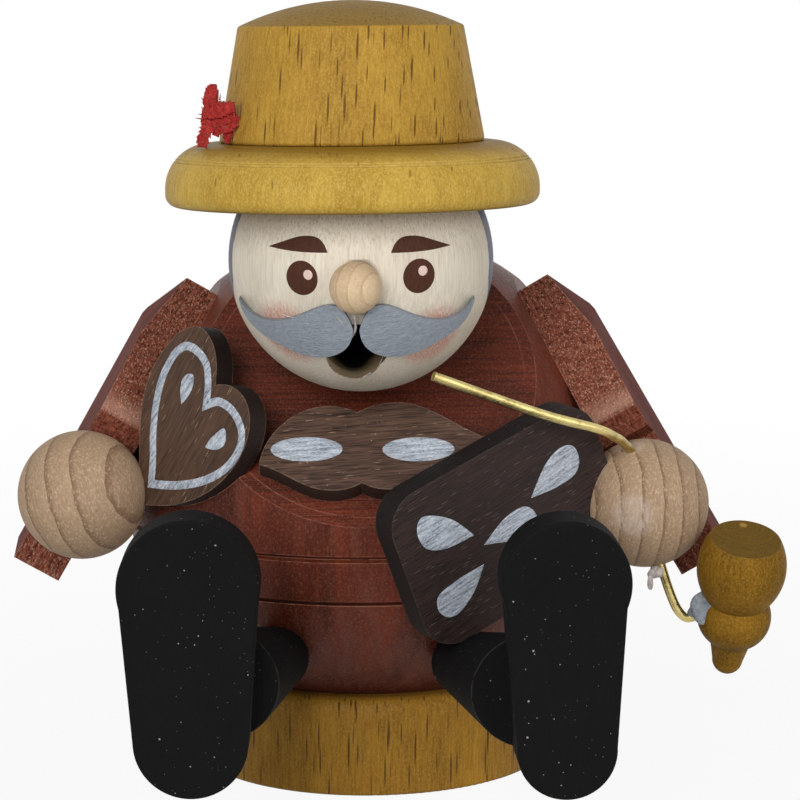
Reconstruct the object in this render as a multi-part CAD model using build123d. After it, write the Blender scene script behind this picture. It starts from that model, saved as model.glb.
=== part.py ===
from build123d import *
from math import cos, radians, sin, sqrt
import os

# Incense smoker: a seated trader with a tray of gingerbread, in millimetres.
# The origin is the middle of the base's underside, the figure looks along -Y
# and its own right hand is on the -X side.

# Base and two-part ball body
ball_radius = 35.0
base_radius = 25.2
base_height = 13.9
base_shoulder = 2.5
base_top_round = 2.2
base_foot_round = 0.6
air_bore_radius = 1.9
air_hole_height = 23.0
seam_height = 28.8
groove_height = 35.4
groove_depth = 0.7
groove_half_width = 0.45
spigot_radius = 19.4
spigot_height = 6.4
spigot_gap = 0.1
spigot_top_gap = 0.5
chamber_radius = 17.5
chamber_shoulder_height = 55.0
chamber_top_height = 60.0

foot_radius = base_radius - base_shoulder
ball_height = base_height + sqrt(ball_radius**2 - foot_radius**2)
ball_centre = Vector(0, 0, ball_height)
spigot_top = seam_height + spigot_height

# Incense plate and cone
plate_radius = 11.4
plate_thickness = 0.6
plate_rim_height = 1.0
plate_recess_gap = 0.1
plate_recess_depth = 1.4
plate_hole_radius = 0.9
plate_hole_ring_radius = 7.2
plate_hole_count = 6
air_pocket_radius = 8.6
air_pocket_depth = 3.0
cone_radius = 4.5
cone_height = 15.0
cone_tip_radius = 0.7
plate_bottom = spigot_top - plate_recess_depth
plate_top = plate_bottom + plate_thickness

# Slanted chest flat and the neck joint on it
chest_angle = 40.0
chest_distance = 26.4
neck_rise = 8.5
neck_tube_radius = 3.6
neck_bore_radius = 2.4
neck_depth_body = 7.0
neck_depth_head = 8.0
neck_bore_reach = 20.0

# Head, nose, mouth and moustache
head_radius = 17.6
head_shift = -0.6
head_forward = 27.7
head_height = 74.9
face_shift = -0.5
nose_radius = 3.35
nose_drop = 1.2
nose_reach = 19.35
nose_flat_distance = 17.35
mouth_radius = 4.15
mouth_drop = 10.0
mouth_slope = 25.0
mouth_reach = 17.0
moustache_thickness = 1.7
moustache_span = 15.2
moustache_gap = 0.12
# upper and lower edge of one lobe, inner end to tip, as shares of the span
moustache_upper_shares = ((0.02, -0.45), (0.22, -0.235), (0.46, -0.33), (0.72, -0.40), (1.0, -0.25))
moustache_lower_shares = (
    (1.0, -0.25), (0.88, -0.47), (0.68, -0.60), (0.35, -0.71), (0.13, -0.66), (0.02, -0.45),
)

# Hat
hat_shift = -1.6
hat_forward = 27.5
hat_height = 82.2
hat_tilt = 3.0
head_flat_rise = 5.6
brim_radius = 24.8
brim_height = 8.3
brim_top_round = 6.0
brim_bottom_round = 1.6
crown_foot_radius = 17.6
crown_top_radius = 14.9
crown_height = 15.2
crown_dome_rise = 3.4
crown_foot_round = 0.5
scribed_line_depth = 0.15
scribed_line_width = 0.3
scribed_line_angles = (47.0, 51.5)
hat_dowel_radius = 3.0
hat_dowel_rise = 5.0
hat_dowel_drop = 6.0

# Plume tucked between crown and brim
plume_angle = 207.0
plume_rise = 4.9
plume_core_radius = 1.9
plume_strand_radius = 0.45
plume_strand_tip_radius = 0.12
plume_strand_length = 4.6
plume_strand_count = 12
plume_spread = 150.0
plume_sway = 25.0

# Arm boards, their dowels and the ball hands
arm_distance = 32.2
arm_lift = 30.5
arm_azimuth = 86.0
arm_apex_rise = 12.4
arm_thickness = 7.0
arm_length = 45.1
arm_back_top = 8.0
arm_back_reach = 6.6
arm_back_foot = 0.6
arm_apex_forward = 6.4
sleeve_forward = 17.4
sleeve_down = 20.3
sleeve_under_down = 23.8
sleeve_under_forward = 16.0
cuff_forward = 12.7
cuff_down = 25.6
arm_bevel_start = 4.8
arm_bevel_down = 9.0
arm_dowel_radius = 2.5
arm_dowel_depth = 5.0
hand_radius = 8.75
left_hand_place = (20.2, 32.3, 1.4)
right_hand_place = (20.0, 31.4, 3.6)

# Sawn gingerbread shapes
heart_azimuth = -38.0
heart_elevation = 10.0
heart_face_distance = 37.4
heart_thickness = 3.4
heart_length = 23.5
heart_tip_place = (-10.5, -5.9)
heart_turn = 55.0
# upper and lower half of the heart, tip to notch, as shares of its length along and beside its axis
heart_upper_shares = (
    (0, 0), (0.3, 0.24), (0.585, 0.413), (0.79, 0.437), (0.976, 0.398), (1.07, 0.30), (1.063, 0.189),
    (0.99, 0.075), (0.895, 0),
)
heart_lower_shares = (
    (0, 0), (0.249, -0.275), (0.49, -0.393), (0.726, -0.409), (0.89, -0.345), (0.978, -0.22), (0.97, -0.1),
    (0.895, 0),
)
slab_azimuth = 29.5
slab_elevation = -2.0
slab_face_distance = 38.4
slab_thickness = 4.4
slab_length = 33.4
slab_width = 22.6
slab_corner_radius = 5.0
slab_turn = 21.6
slab_place = (0.1, 0.5)
bow_length = 31.7
bow_thickness = 3.0
bow_place = (-0.65, -12.6)
# four curves of the bow's outline, as shares of its length
bow_outline_shares = (
    ((-0.435, -0.072), (-0.36, 0.10), (-0.21, 0.20), (-0.10, 0.205), (-0.023, 0.176)),
    ((-0.023, 0.176), (0.07, 0.215), (0.18, 0.222), (0.33, 0.16), (0.566, 0.033)),
    ((0.566, 0.033), (0.40, -0.05), (0.23, -0.165), (0.11, -0.195), (-0.003, -0.163)),
    ((-0.003, -0.163), (-0.10, -0.197), (-0.20, -0.187), (-0.33, -0.12), (-0.435, -0.072)),
)

# Brass stem bent through the left hand, its bends placed from the hand's centre along X, Y and Z,
# and the pipe bowl hanging from its end
stem_radius = 0.7
stem_bore_gap = 0.05
stem_bend_radius = 2.0
stem_mouth_place = (-28.8, -17.1, 20.6)
stem_front_bend_place = (-5.9, -9.1, 10.9)
stem_upper_bend_place = (-3.1, -2.3, 9.5)
stem_lower_bend_place = (4.6, -2.4, -16.5)
stem_bowl_end_place = (9.3, -2.4, -15.3)
bowl_axis_reach = 2.8
bowl_lean_side = 5.0
bowl_lean_front = 20.0
bowl_tip_drop = 9.2
bowl_tip_radius = 2.1
bowl_low_neck_radius = 2.8
bowl_low_neck_drop = 4.0
bowl_low_bead_radius = 5.05
bowl_high_neck_radius = 4.2
bowl_high_neck_rise = 2.6
bowl_head_radius = 6.05
bowl_head_rise = 7.9
bowl_top_radius = 4.8
bowl_top_rise = 12.3

# Legs and shoes
leg_ball_radius = 4.3
leg_shoe_radius = 7.6
leg_dowel_radius = 2.0
leg_dowel_depth = 6.0
leg_start_side = 12.6
leg_start_forward = 29.2
right_leg_start_height = 20.8
left_leg_start_height = 19.9
right_ankle_inset = 3.6
right_ankle_drop = 4.9
left_ankle_inset = 4.6
left_ankle_drop = 5.6
shoe_height = 36.5
shoe_thickness = 7.0
shoe_edge_round = 0.4
shoe_toe_rise_share = 0.185
shoe_heel_drop_share = 0.315
shoe_heel_width_share = 0.84
right_shoe_width = 17.6
left_shoe_width = 15.4
shoe_forward = 55.0
right_shoe_side = 22.8
right_shoe_middle = 27.1
left_shoe_side = 25.4
left_shoe_middle = 26.5
left_shoe_turn = 9.0
left_shoe_lean = 5.7

# Dowels that hold the body on the base
base_dowel_radius = 2.5
base_dowel_depth = 7.0
base_dowel_spread = 14.0
dowel_gap = 0.05

# The figure's own right and left along X, and a length that outreaches every piece
out_right = -1
out_left = 1
clear_reach = ball_height + hat_height


def facing(azimuth, elevation):
    """Unit direction; azimuth 0 is the front and turns towards +X."""
    flat = cos(radians(elevation))
    return Vector(sin(radians(azimuth)) * flat, -cos(radians(azimuth)) * flat, sin(radians(elevation)))


def ball_plane(azimuth, elevation, distance):
    """Plane at a distance from the ball's centre, its Y axis pointing up the slope."""
    outward = facing(azimuth, elevation)
    level = Vector(cos(radians(azimuth)), sin(radians(azimuth)), 0)
    return Plane(origin=ball_centre + outward * distance, x_dir=level, z_dir=outward)


def of_side(side, right, left):
    """Value that belongs to the figure's right or left side."""
    return right if side == out_right else left


def standing_box(across, deep, tall):
    return Box(across, deep, tall, align=(Align.CENTER, Align.CENTER, Align.MIN))


def standing_bar(radius, length):
    return Cylinder(radius, length, align=(Align.CENTER, Align.CENTER, Align.MIN))


def beyond(plane):
    """Block that fills everything in front of a plane."""
    return plane * standing_box(clear_reach, clear_reach, clear_reach)


def rod(start, direction, radius, length):
    """Straight round bar from a point along a direction."""
    return Plane(origin=start, z_dir=direction) * standing_bar(radius, length)


def turned(*edges):
    """Turn a closed outline, drawn as radius and height, about the Z axis."""
    return revolve(Plane.XZ * make_face(Curve() + list(edges)), Axis.Z)


def rims(solid):
    """Full circles of a turned solid, lowest first."""
    return solid.edges().filter_by(lambda edge: edge.is_closed).sort_by(Axis.Z)


def quarter_circle(start, end, centre):
    """Quarter circle between two points of an outline."""
    middle = Vector(*centre)
    half_way = (Vector(*start) + Vector(*end)) / 2 - middle
    radius = (Vector(*start) - middle).length
    return ThreePointArc(start, middle + half_way.normalized() * radius, end)


def curve_of(shares, unit):
    """Smooth line through points given as shares of a unit length."""
    return Spline(*[(unit * across, unit * up) for across, up in shares])


def chest_plane():
    return ball_plane(0, chest_angle, chest_distance)


def neck_start():
    plane = chest_plane()
    return plane.origin + plane.y_dir * neck_rise


def neck_hole(radius, depth):
    """Bore along the neck, sunk to a depth on the body's side of the chest flat."""
    return rod(neck_start() - chest_plane().z_dir * depth, chest_plane().z_dir, radius, depth)


def head_place():
    return Vector(head_shift, -head_forward, head_height)


def hat_location():
    return Location((hat_shift, -hat_forward, hat_height), (-hat_tilt, 0, 0))


def above_head_flat():
    """Block above the flat on the crown of the head, tilted with the hat."""
    return beyond(Plane(hat_location() * Pos(0, 0, head_flat_rise)))


def arm_seat(side):
    """Sawn seat of an arm on the ball, its Y axis pointing up the slope."""
    return ball_plane(side * arm_azimuth, arm_lift, arm_distance)


def arm_plane(side):
    """Board plane: X runs down the sleeve, Z points away from the body."""
    seat = arm_seat(side)
    return Plane(origin=seat.origin + seat.y_dir * arm_apex_rise, x_dir=-seat.y_dir, z_dir=seat.z_dir)


def arm_ahead(side):
    """Level direction along the board towards the front."""
    return arm_seat(side).x_dir * -side


def arm_point(side, forward, down, out):
    plane = arm_plane(side)
    return plane.origin + arm_ahead(side) * forward + plane.x_dir * down + plane.z_dir * out


def base_disc():
    disc = standing_bar(base_radius, base_height)
    disc = fillet(rims(disc)[-1], base_top_round)
    disc = fillet(rims(disc)[0], base_foot_round)
    return disc - base_dowel_set(dowel_gap)


def base_dowel_set(gap):
    """Two dowels across the joint between base and body, or their holes."""
    reach = base_dowel_depth + gap
    pin = Pos(0, 0, base_height - reach) * standing_bar(base_dowel_radius + gap, reach * 2)
    return Compound([Pos(side * base_dowel_spread, 0, 0) * pin for side in (out_right, out_left)])


def body_ball():
    return Pos(0, 0, ball_height) * Sphere(ball_radius)


def lower_body():
    span = Pos(0, 0, base_height) * standing_box(clear_reach, clear_reach, seam_height - base_height)
    body = body_ball() & span
    body += Pos(0, 0, seam_height) * standing_bar(spigot_radius, spigot_height)
    body -= Pos(0, 0, plate_bottom) * standing_bar(plate_radius + plate_recess_gap, plate_recess_depth)
    body -= Pos(0, 0, plate_bottom - air_pocket_depth) * standing_bar(air_pocket_radius, air_pocket_depth)
    bore_end = Vector(0, 0, air_hole_height)
    body -= rod(bore_end, Vector(0, 0, 1), air_bore_radius, plate_bottom - air_hole_height)
    body -= rod(bore_end, Vector(0, 1, 0), air_bore_radius, ball_radius)
    body -= base_dowel_set(dowel_gap)
    return body - leg_dowel_set(dowel_gap)


def incense_plate():
    """Stamped tin saucer with a ring of air holes."""
    inner = plate_radius - plate_thickness
    rim_top = plate_rim_height + plate_thickness
    outer_side = [(0, 0), (plate_radius, 0), (plate_radius, rim_top)]
    inner_side = [(inner, rim_top), (inner, plate_thickness), (0, plate_thickness)]
    plate = turned(Polyline(*outer_side, *inner_side, close=True))
    plate -= PolarLocations(plate_hole_ring_radius, plate_hole_count) * Cylinder(plate_hole_radius, rim_top * 2)
    return Pos(0, 0, plate_bottom) * plate


def incense_cone():
    flank = Line((cone_radius, 0), (cone_tip_radius, cone_height - cone_tip_radius))
    tip = quarter_circle(flank @ 1, (0, cone_height), (0, cone_height - cone_tip_radius))
    foot = Line((0, 0), (cone_radius, 0))
    return Pos(0, 0, plate_top) * turned(foot, flank, tip, Line(tip @ 1, (0, 0)))


def smoke_chamber():
    """Hollow that takes the spigot below and the smoke above."""
    step = spigot_top + spigot_top_gap
    outline = Polyline(
        (0, seam_height),
        (spigot_radius + spigot_gap, seam_height),
        (spigot_radius + spigot_gap, step),
        (chamber_radius, step),
        (chamber_radius, chamber_shoulder_height),
        (0, chamber_top_height),
        close=True,
    )
    return turned(outline)


def turned_groove(height):
    """Ring with a three-cornered section that cuts a line into the ball."""
    surface = sqrt(ball_radius**2 - (ball_height - height) ** 2)
    inner = (surface - groove_depth, height)
    low = (surface + groove_depth, height - groove_half_width * 2)
    high = (surface + groove_depth, height + groove_half_width * 2)
    return turned(Polyline(inner, low, high, close=True))


def upper_body():
    body = body_ball() - beyond(Plane(origin=(0, 0, seam_height), z_dir=(0, 0, -1)))
    body -= smoke_chamber()
    body -= turned_groove(groove_height)
    body -= turned_groove(seam_height)
    body -= beyond(chest_plane())
    for side in (out_right, out_left):
        body -= beyond(arm_seat(side))
        body -= arm_dowel(side, dowel_gap)
    body -= neck_hole(neck_tube_radius + dowel_gap, neck_depth_body + dowel_gap)
    body -= neck_hole(neck_bore_radius, neck_bore_reach)
    return body - gingerbread_heart() - gingerbread_slab()


def neck_tube():
    start = neck_start() - chest_plane().z_dir * neck_depth_body
    length = neck_depth_body + neck_depth_head
    tube = rod(start, chest_plane().z_dir, neck_tube_radius, length)
    return tube - rod(start, chest_plane().z_dir, neck_bore_radius, length)


def head_form(skin):
    """Ball of the head, grown by a skin."""
    return Pos(*head_place()) * Sphere(head_radius + skin)


def mouth_bore():
    inward = Vector(0, cos(radians(mouth_slope)), sin(radians(mouth_slope)))
    depth = sqrt(head_radius**2 - mouth_drop**2)
    lip = head_place() + Vector(face_shift, -depth, -mouth_drop)
    return rod(lip - inward * mouth_radius, inward, mouth_radius, mouth_reach + mouth_radius)


def nose_plane():
    outward = facing(0, 0)
    middle = head_place() + Vector(face_shift, 0, -nose_drop)
    return Plane(origin=middle + outward * nose_flat_distance, z_dir=outward)


def head():
    form = head_form(0)
    form -= beyond(Plane(origin=chest_plane().origin, z_dir=-chest_plane().z_dir))
    form -= above_head_flat()
    form -= nose_plane() * standing_box(nose_radius * 2, nose_radius * 2, nose_radius)
    along = chest_plane().z_dir
    form -= rod(neck_start(), along, neck_tube_radius + dowel_gap, neck_depth_head + dowel_gap)
    form -= rod(neck_start(), along, neck_bore_radius, neck_bore_reach)
    form -= mouth_bore()
    return form - hat_dowel(dowel_gap)


def nose():
    centre = head_place() + Vector(face_shift, -nose_reach, -nose_drop)
    ball = Pos(*centre) * Sphere(nose_radius)
    return ball - beyond(Plane(origin=nose_plane().origin, z_dir=-nose_plane().z_dir))


def moustache_lobe(side):
    """Thin sawn lobe bent to the head, drawn on the side of the given hand."""
    upper = curve_of(moustache_upper_shares, moustache_span)
    lower = curve_of(moustache_lower_shares, moustache_span)
    face = make_face(Curve() + [upper, lower])
    lobe = extrude(face, head_radius * 2)
    lobe = Pos(moustache_gap, 0, 0) * lobe
    if side == out_right:
        lobe = mirror(lobe, Plane.YZ)
    lobe = Pos(*(head_place() + Vector(face_shift, 0, 0))) * (Rotation(90, 0, 0) * lobe)
    return (lobe & head_form(moustache_thickness)) - head_form(0)


def hat_brim():
    """Thick turned brim, hollowed below to sit on the head."""
    disc = standing_bar(brim_radius, brim_height)
    disc = fillet(rims(disc)[-1], brim_top_round)
    disc = fillet(rims(disc)[0], brim_bottom_round)
    for angle in scribed_line_angles:
        disc -= scribed_line(angle)
    return hat_location() * disc - (head_form(0) - above_head_flat()) - hat_dowel(dowel_gap)


def scribed_line(angle):
    """Fine ring cut into the brim's round shoulder, at an angle from its top."""
    way = Vector(sin(radians(angle)), cos(radians(angle)))
    side = Vector(way.Y, -way.X) * (scribed_line_width / 2)
    middle = Vector(brim_radius - brim_top_round, brim_height - brim_top_round)
    floor = middle + way * (brim_top_round - scribed_line_depth)
    mouth = middle + way * (brim_top_round + scribed_line_depth)
    corners = [(spot.X, spot.Y) for spot in (floor, mouth - side * 2, mouth + side * 2)]
    return turned(Polyline(*corners, close=True))


def hat_crown():
    """Slightly tapered crown with a domed top."""
    side = Line((crown_foot_radius, 0), (crown_top_radius, crown_height))
    dome_radius = (crown_top_radius**2 + crown_dome_rise**2) / (crown_dome_rise * 2)
    half = crown_top_radius / 2
    dome_mid = crown_height + crown_dome_rise - dome_radius + sqrt(dome_radius**2 - half**2)
    dome = ThreePointArc(side @ 1, (half, dome_mid), (0, crown_height + crown_dome_rise))
    crown = turned(Line((0, 0), (crown_foot_radius, 0)), side, dome, Line(dome @ 1, (0, 0)))
    crown = fillet([rims(crown)[0], rims(crown)[-1]], crown_foot_round)
    return hat_location() * Pos(0, 0, brim_height) * crown - hat_dowel(dowel_gap)


def hat_dowel(gap):
    start = head_flat_rise - hat_dowel_drop - gap
    length = brim_height + hat_dowel_rise - start + gap
    return hat_location() * Pos(0, 0, start) * standing_bar(hat_dowel_radius + gap, length)


def hat_plume():
    """Tuft of stiff bristles on a short core that lies against the crown."""
    taper = (crown_foot_radius - crown_top_radius) / crown_height
    wall = crown_foot_radius - taper * plume_rise
    reach = wall + plume_core_radius
    upward = Vector(0, 0, 1)
    outward = Vector(cos(radians(plume_angle)), sin(radians(plume_angle)), 0)
    sideways = outward.cross(upward)
    spot = outward * reach + upward * (brim_height + plume_rise)
    foot_first = (Align.CENTER, Align.CENTER, Align.MIN)
    strand = Cone(plume_strand_radius, plume_strand_tip_radius, plume_strand_length, align=foot_first)
    tuft = Sphere(plume_core_radius)
    sways = (-plume_sway, 0, plume_sway)
    for number in range(plume_strand_count):
        share = number / (plume_strand_count - 1)
        turn = radians(plume_spread * share - plume_spread / 2)
        sway = radians(sways[number % len(sways)])
        fan = outward * cos(sway) + sideways * sin(sway)
        way = fan * cos(turn) + upward * sin(turn)
        tuft += Plane(origin=way * (plume_core_radius / 2), z_dir=way) * strand
    return hat_location() * Pos(*spot) * tuft


def arm_board(side):
    """Sawn arm: a wide sleeve above, stepped back to a cuff below."""
    down = [
        (0, arm_apex_forward),
        (sleeve_down, sleeve_forward),
        (sleeve_under_down, sleeve_under_forward),
        (cuff_down, cuff_forward),
        (arm_length, cuff_forward),
        (arm_length, -arm_back_foot),
        (arm_back_top, -arm_back_reach),
    ]
    flip = arm_plane(side).y_dir.dot(arm_ahead(side))
    outline = make_face(Polyline(*[(along, across * flip) for along, across in down], close=True))
    board = extrude(outline, arm_thickness)
    rise = arm_thickness - arm_bevel_start
    uphill = (arm_bevel_down, 0, rise)
    board -= beyond(Plane(origin=(0, 0, arm_bevel_start), x_dir=uphill, z_dir=(-rise, 0, arm_bevel_down)))
    board = arm_plane(side) * board
    return board - arm_dowel(side, dowel_gap)


def arm_dowel(side, gap):
    """Dowel across the joint between body and arm, or its hole."""
    outward = arm_plane(side).z_dir
    start = ball_centre + outward * (arm_distance - arm_dowel_depth - gap)
    return rod(start, outward, arm_dowel_radius + gap, (arm_dowel_depth + gap) * 2)


def hand_centre(side):
    return arm_point(side, *of_side(side, right_hand_place, left_hand_place))


def hand_ball(side):
    return Pos(*hand_centre(side)) * Sphere(hand_radius)


def hand(side):
    """Ball hand with a flat where it is glued to the front of the cuff."""
    ball = hand_ball(side)
    ball -= beyond(Plane(origin=arm_point(side, cuff_forward, 0, 0), z_dir=-arm_ahead(side)))
    if side == out_left:
        ball -= stem_hole()
    return ball


def sawn(plane, face, thickness):
    """Flat shape with its front on the plane and its thickness towards the body."""
    return plane * extrude(face, -thickness)


def gingerbread_heart():
    halves = [curve_of(shares, heart_length) for shares in (heart_upper_shares, heart_lower_shares)]
    face = make_face(Curve() + halves)
    face = Pos(*heart_tip_place, 0) * (Rotation(0, 0, heart_turn) * face)
    heart = sawn(ball_plane(heart_azimuth, heart_elevation, heart_face_distance), face, heart_thickness)
    return heart - hand_ball(out_right)


def gingerbread_slab():
    face = RectangleRounded(slab_length, slab_width, slab_corner_radius)
    face = Pos(*slab_place, 0) * (Rotation(0, 0, slab_turn) * face)
    slab = sawn(ball_plane(slab_azimuth, slab_elevation, slab_face_distance), face, slab_thickness)
    return slab - hand_ball(out_left)


def gingerbread_chest():
    curves = [curve_of(shares, bow_length) for shares in bow_outline_shares]
    face = Pos(*bow_place, 0) * make_face(Curve() + curves)
    bow = sawn(ball_plane(0, chest_angle, chest_distance + bow_thickness), face, bow_thickness)
    return bow - gingerbread_heart() - gingerbread_slab()


def stem_point(place):
    """Point of the stem, given right of, behind and above the left hand's centre."""
    return hand_centre(out_left) + Vector(*place)


def stem_path():
    above = (stem_mouth_place, stem_front_bend_place, stem_upper_bend_place)
    below = (stem_lower_bend_place, stem_bowl_end_place)
    return FilletPolyline(*[stem_point(place) for place in above + below], radius=stem_bend_radius)


def pipe_stem():
    path = stem_path()
    return sweep(Plane(origin=path @ 0, z_dir=path % 0) * Circle(stem_radius), path)


def stem_hole():
    """Straight hole through the hand."""
    start = stem_point(stem_upper_bend_place)
    down = stem_point(stem_lower_bend_place) - start
    return rod(start, down, stem_radius + stem_bore_gap, down.length)


def pipe_bowl():
    """Turned pipe bowl: a tapered tail, a bead, a neck and a rounded head."""
    tip_low = -bowl_tip_drop
    tip_high = tip_low + bowl_tip_radius
    tip = quarter_circle((0, tip_low), (bowl_tip_radius, tip_high), (0, tip_high))
    tail = Line(tip @ 1, (bowl_low_neck_radius, -bowl_low_neck_drop))
    bead = ThreePointArc(tail @ 1, (bowl_low_bead_radius, 0), (bowl_high_neck_radius, bowl_high_neck_rise))
    head = ThreePointArc(bead @ 1, (bowl_head_radius, bowl_head_rise), (bowl_top_radius, bowl_top_rise))
    top = Line(head @ 1, (0, bowl_top_rise))
    bowl = turned(tip, tail, bead, head, top, Line(top @ 1, (0, tip_low)))
    end = stem_point(stem_bowl_end_place)
    bowl_centre = end + Vector(bowl_axis_reach, 0, 0)
    bowl = Location(tuple(bowl_centre), (bowl_lean_front, bowl_lean_side, 0)) * bowl
    bend = stem_point(stem_lower_bend_place)
    into = end - bend
    return bowl - rod(bend, into, stem_radius + stem_bore_gap, into.length + stem_bore_gap)


def sole_centre(side):
    """Middle of a shoe's sole."""
    across = of_side(side, right_shoe_side, left_shoe_side)
    return Vector(side * across, -shoe_forward, of_side(side, right_shoe_middle, left_shoe_middle))


def leg_ends(side):
    """Start at the ball body and end at the back of the shoe."""
    start_height = of_side(side, right_leg_start_height, left_leg_start_height)
    inset = of_side(side, right_ankle_inset, left_ankle_inset)
    drop = of_side(side, right_ankle_drop, left_ankle_drop)
    start = Vector(side * leg_start_side, -leg_start_forward, start_height)
    return start, sole_centre(side) + Vector(-side * inset, shoe_thickness, -drop)


def leg(side):
    """Turned cone leg, hollowed where it meets the ball body."""
    start, end = leg_ends(side)
    along = (end - start).normalized()
    length = (end - start).length + leg_shoe_radius / 2
    slope = (leg_shoe_radius - leg_ball_radius) / (end - start).length
    wide = leg_ball_radius + slope * length
    taper = Cone(leg_ball_radius, wide, length, align=(Align.CENTER, Align.CENTER, Align.MIN))
    form = Plane(origin=start, z_dir=along) * taper
    form += Pos(*start) * Sphere(leg_ball_radius)
    form -= beyond(shoe_back_plane(side))
    form -= body_ball()
    if side == out_left:
        form -= gingerbread_slab()
    return form - leg_dowel(side, dowel_gap)


def leg_dowel(side, gap):
    start, end = leg_ends(side)
    along = (end - start).normalized()
    first = start - along * (leg_dowel_depth + gap)
    return rod(first, along, leg_dowel_radius + gap, (leg_dowel_depth + gap) * 2)


def leg_dowel_set(gap):
    return Compound([leg_dowel(side, gap) for side in (out_right, out_left)])


def sole_plane(side):
    """Plane of a shoe sole, its Y axis running up the shoe."""
    turn = of_side(side, 0, left_shoe_turn)
    lean = of_side(side, 0, left_shoe_lean)
    level = (cos(radians(turn)), sin(radians(turn)), 0)
    return Plane(origin=sole_centre(side), x_dir=level, z_dir=facing(turn, 0)).rotated((0, 0, -lean))


def shoe_back_plane(side):
    plane = sole_plane(side)
    return Plane(origin=plane.origin - plane.z_dir * shoe_thickness, z_dir=plane.z_dir)


def shoe(side):
    """Upright shoe: a board with a round toe above and a narrower heel below."""
    half = of_side(side, right_shoe_width, left_shoe_width) / 2
    rise = shoe_height * shoe_toe_rise_share
    drop = -shoe_height * shoe_heel_drop_share
    heel = half * shoe_heel_width_share
    toe = ThreePointArc((-half, rise), (0, shoe_height / 2), (half, rise))
    right = Line((half, rise), (heel, drop))
    under = ThreePointArc((heel, drop), (0, -shoe_height / 2), (-heel, drop))
    left = Line((-heel, drop), (-half, rise))
    board = extrude(make_face(Curve() + [toe, right, under, left]), -shoe_thickness)
    board = fillet(board.faces().sort_by(Axis.Z)[-1].edges(), shoe_edge_round)
    return sole_plane(side) * board


def arm_dowels():
    return Compound([arm_dowel(side, 0) for side in (out_right, out_left)])


def build():
    return {
        "base_disc": base_disc(),
        "base_dowels": base_dowel_set(0),
        "lower_body": lower_body(),
        "incense_plate": incense_plate(),
        "incense_cone": incense_cone(),
        "upper_body": upper_body(),
        "neck_tube": neck_tube(),
        "head": head(),
        "nose": nose(),
        "right_moustache": moustache_lobe(out_right),
        "left_moustache": moustache_lobe(out_left),
        "hat_brim": hat_brim(),
        "hat_crown": hat_crown(),
        "hat_dowel": hat_dowel(0),
        "hat_plume": hat_plume(),
        "right_arm": arm_board(out_right),
        "left_arm": arm_board(out_left),
        "arm_dowels": arm_dowels(),
        "right_hand": hand(out_right),
        "left_hand": hand(out_left),
        "gingerbread_heart": gingerbread_heart(),
        "gingerbread_chest": gingerbread_chest(),
        "gingerbread_slab": gingerbread_slab(),
        "pipe_stem": pipe_stem(),
        "pipe_bowl": pipe_bowl(),
        "right_leg": leg(out_right),
        "left_leg": leg(out_left),
        "leg_dowels": leg_dowel_set(0),
        "right_shoe": shoe(out_right),
        "left_shoe": shoe(out_left),
    }


os.makedirs("parts", exist_ok=True)
for name, piece in build().items():
    export_step(piece, f"parts/{name}.step")
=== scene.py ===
"""Looks of a seated wooden incense smoker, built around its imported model."""

import logging
import math
import random
from dataclasses import dataclass, field, replace
from enum import Enum
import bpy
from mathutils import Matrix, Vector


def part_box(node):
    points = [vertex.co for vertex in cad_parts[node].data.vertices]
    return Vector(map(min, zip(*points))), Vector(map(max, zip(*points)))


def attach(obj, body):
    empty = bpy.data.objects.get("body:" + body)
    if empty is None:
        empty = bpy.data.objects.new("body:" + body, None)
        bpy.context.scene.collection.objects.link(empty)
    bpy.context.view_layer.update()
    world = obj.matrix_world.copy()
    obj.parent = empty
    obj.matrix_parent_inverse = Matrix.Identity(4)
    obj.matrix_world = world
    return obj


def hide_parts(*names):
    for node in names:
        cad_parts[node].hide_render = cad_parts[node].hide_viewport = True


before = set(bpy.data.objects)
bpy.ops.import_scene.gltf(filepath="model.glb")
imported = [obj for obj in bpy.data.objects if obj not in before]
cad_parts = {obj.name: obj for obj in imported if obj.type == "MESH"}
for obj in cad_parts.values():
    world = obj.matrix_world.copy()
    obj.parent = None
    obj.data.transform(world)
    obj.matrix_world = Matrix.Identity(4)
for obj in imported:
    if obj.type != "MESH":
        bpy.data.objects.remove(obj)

from types import SimpleNamespace

import bmesh
import bpy
from mathutils import Euler, Matrix, Vector

log = logging.getLogger("smoker")

Colour = tuple[float, float, float]
Flat = tuple[float, float]
Spot = tuple[float, float, float]
Faces = list[tuple[int, ...]]

MM = 0.001
UP = Vector((0.0, 0.0, 1.0))
FRONT = Vector((0.0, -1.0, 0.0))
BACK = -FRONT
BALL_CENTRE = Vector((0.0, 0.0, 40.54))
# Operations of a Vector Math node that give a number.
MEASURES = ("DOT_PRODUCT", "LENGTH", "DISTANCE")
# How far a flat ornament goes into its seat, in millimetres.
SINK = 0.03
# Section of a patch: shares of the way out from its middle, and of its thickness.
PATCH = ((1.0, 0.4), (0.97, 0.8), (0.92, 1.0), (0.7, 1.0), (0.45, 1.0), (0.2, 1.0))
# Section of a band: shares of its width from its middle line, and of its thickness.
BAND = ((-0.5, 0.5), (-0.4, 1.0), (0.0, 1.0), (0.4, 1.0), (0.5, 0.5))


class Body(Enum):
    """Moving bodies of the frame."""

    STAND = "stand"
    FIGURE = "figure"
    CONE = "cone"


class Side(Enum):
    """The figure's own sides, as the sign of X."""

    RIGHT = -1
    LEFT = 1


def shade(red: int, green: int, blue: int) -> Colour:
    """Linear colour of a display colour.

    Args:
        red: red from 0 to 255.
        green: green from 0 to 255.
        blue: blue from 0 to 255.

    Returns:
        The three linear values.
    """
    parts = [channel / 255 for channel in (red, green, blue)]
    return tuple(part / 12.92 if part <= 0.04045 else ((part + 0.055) / 1.055) ** 2.4 for part in parts)


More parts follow.
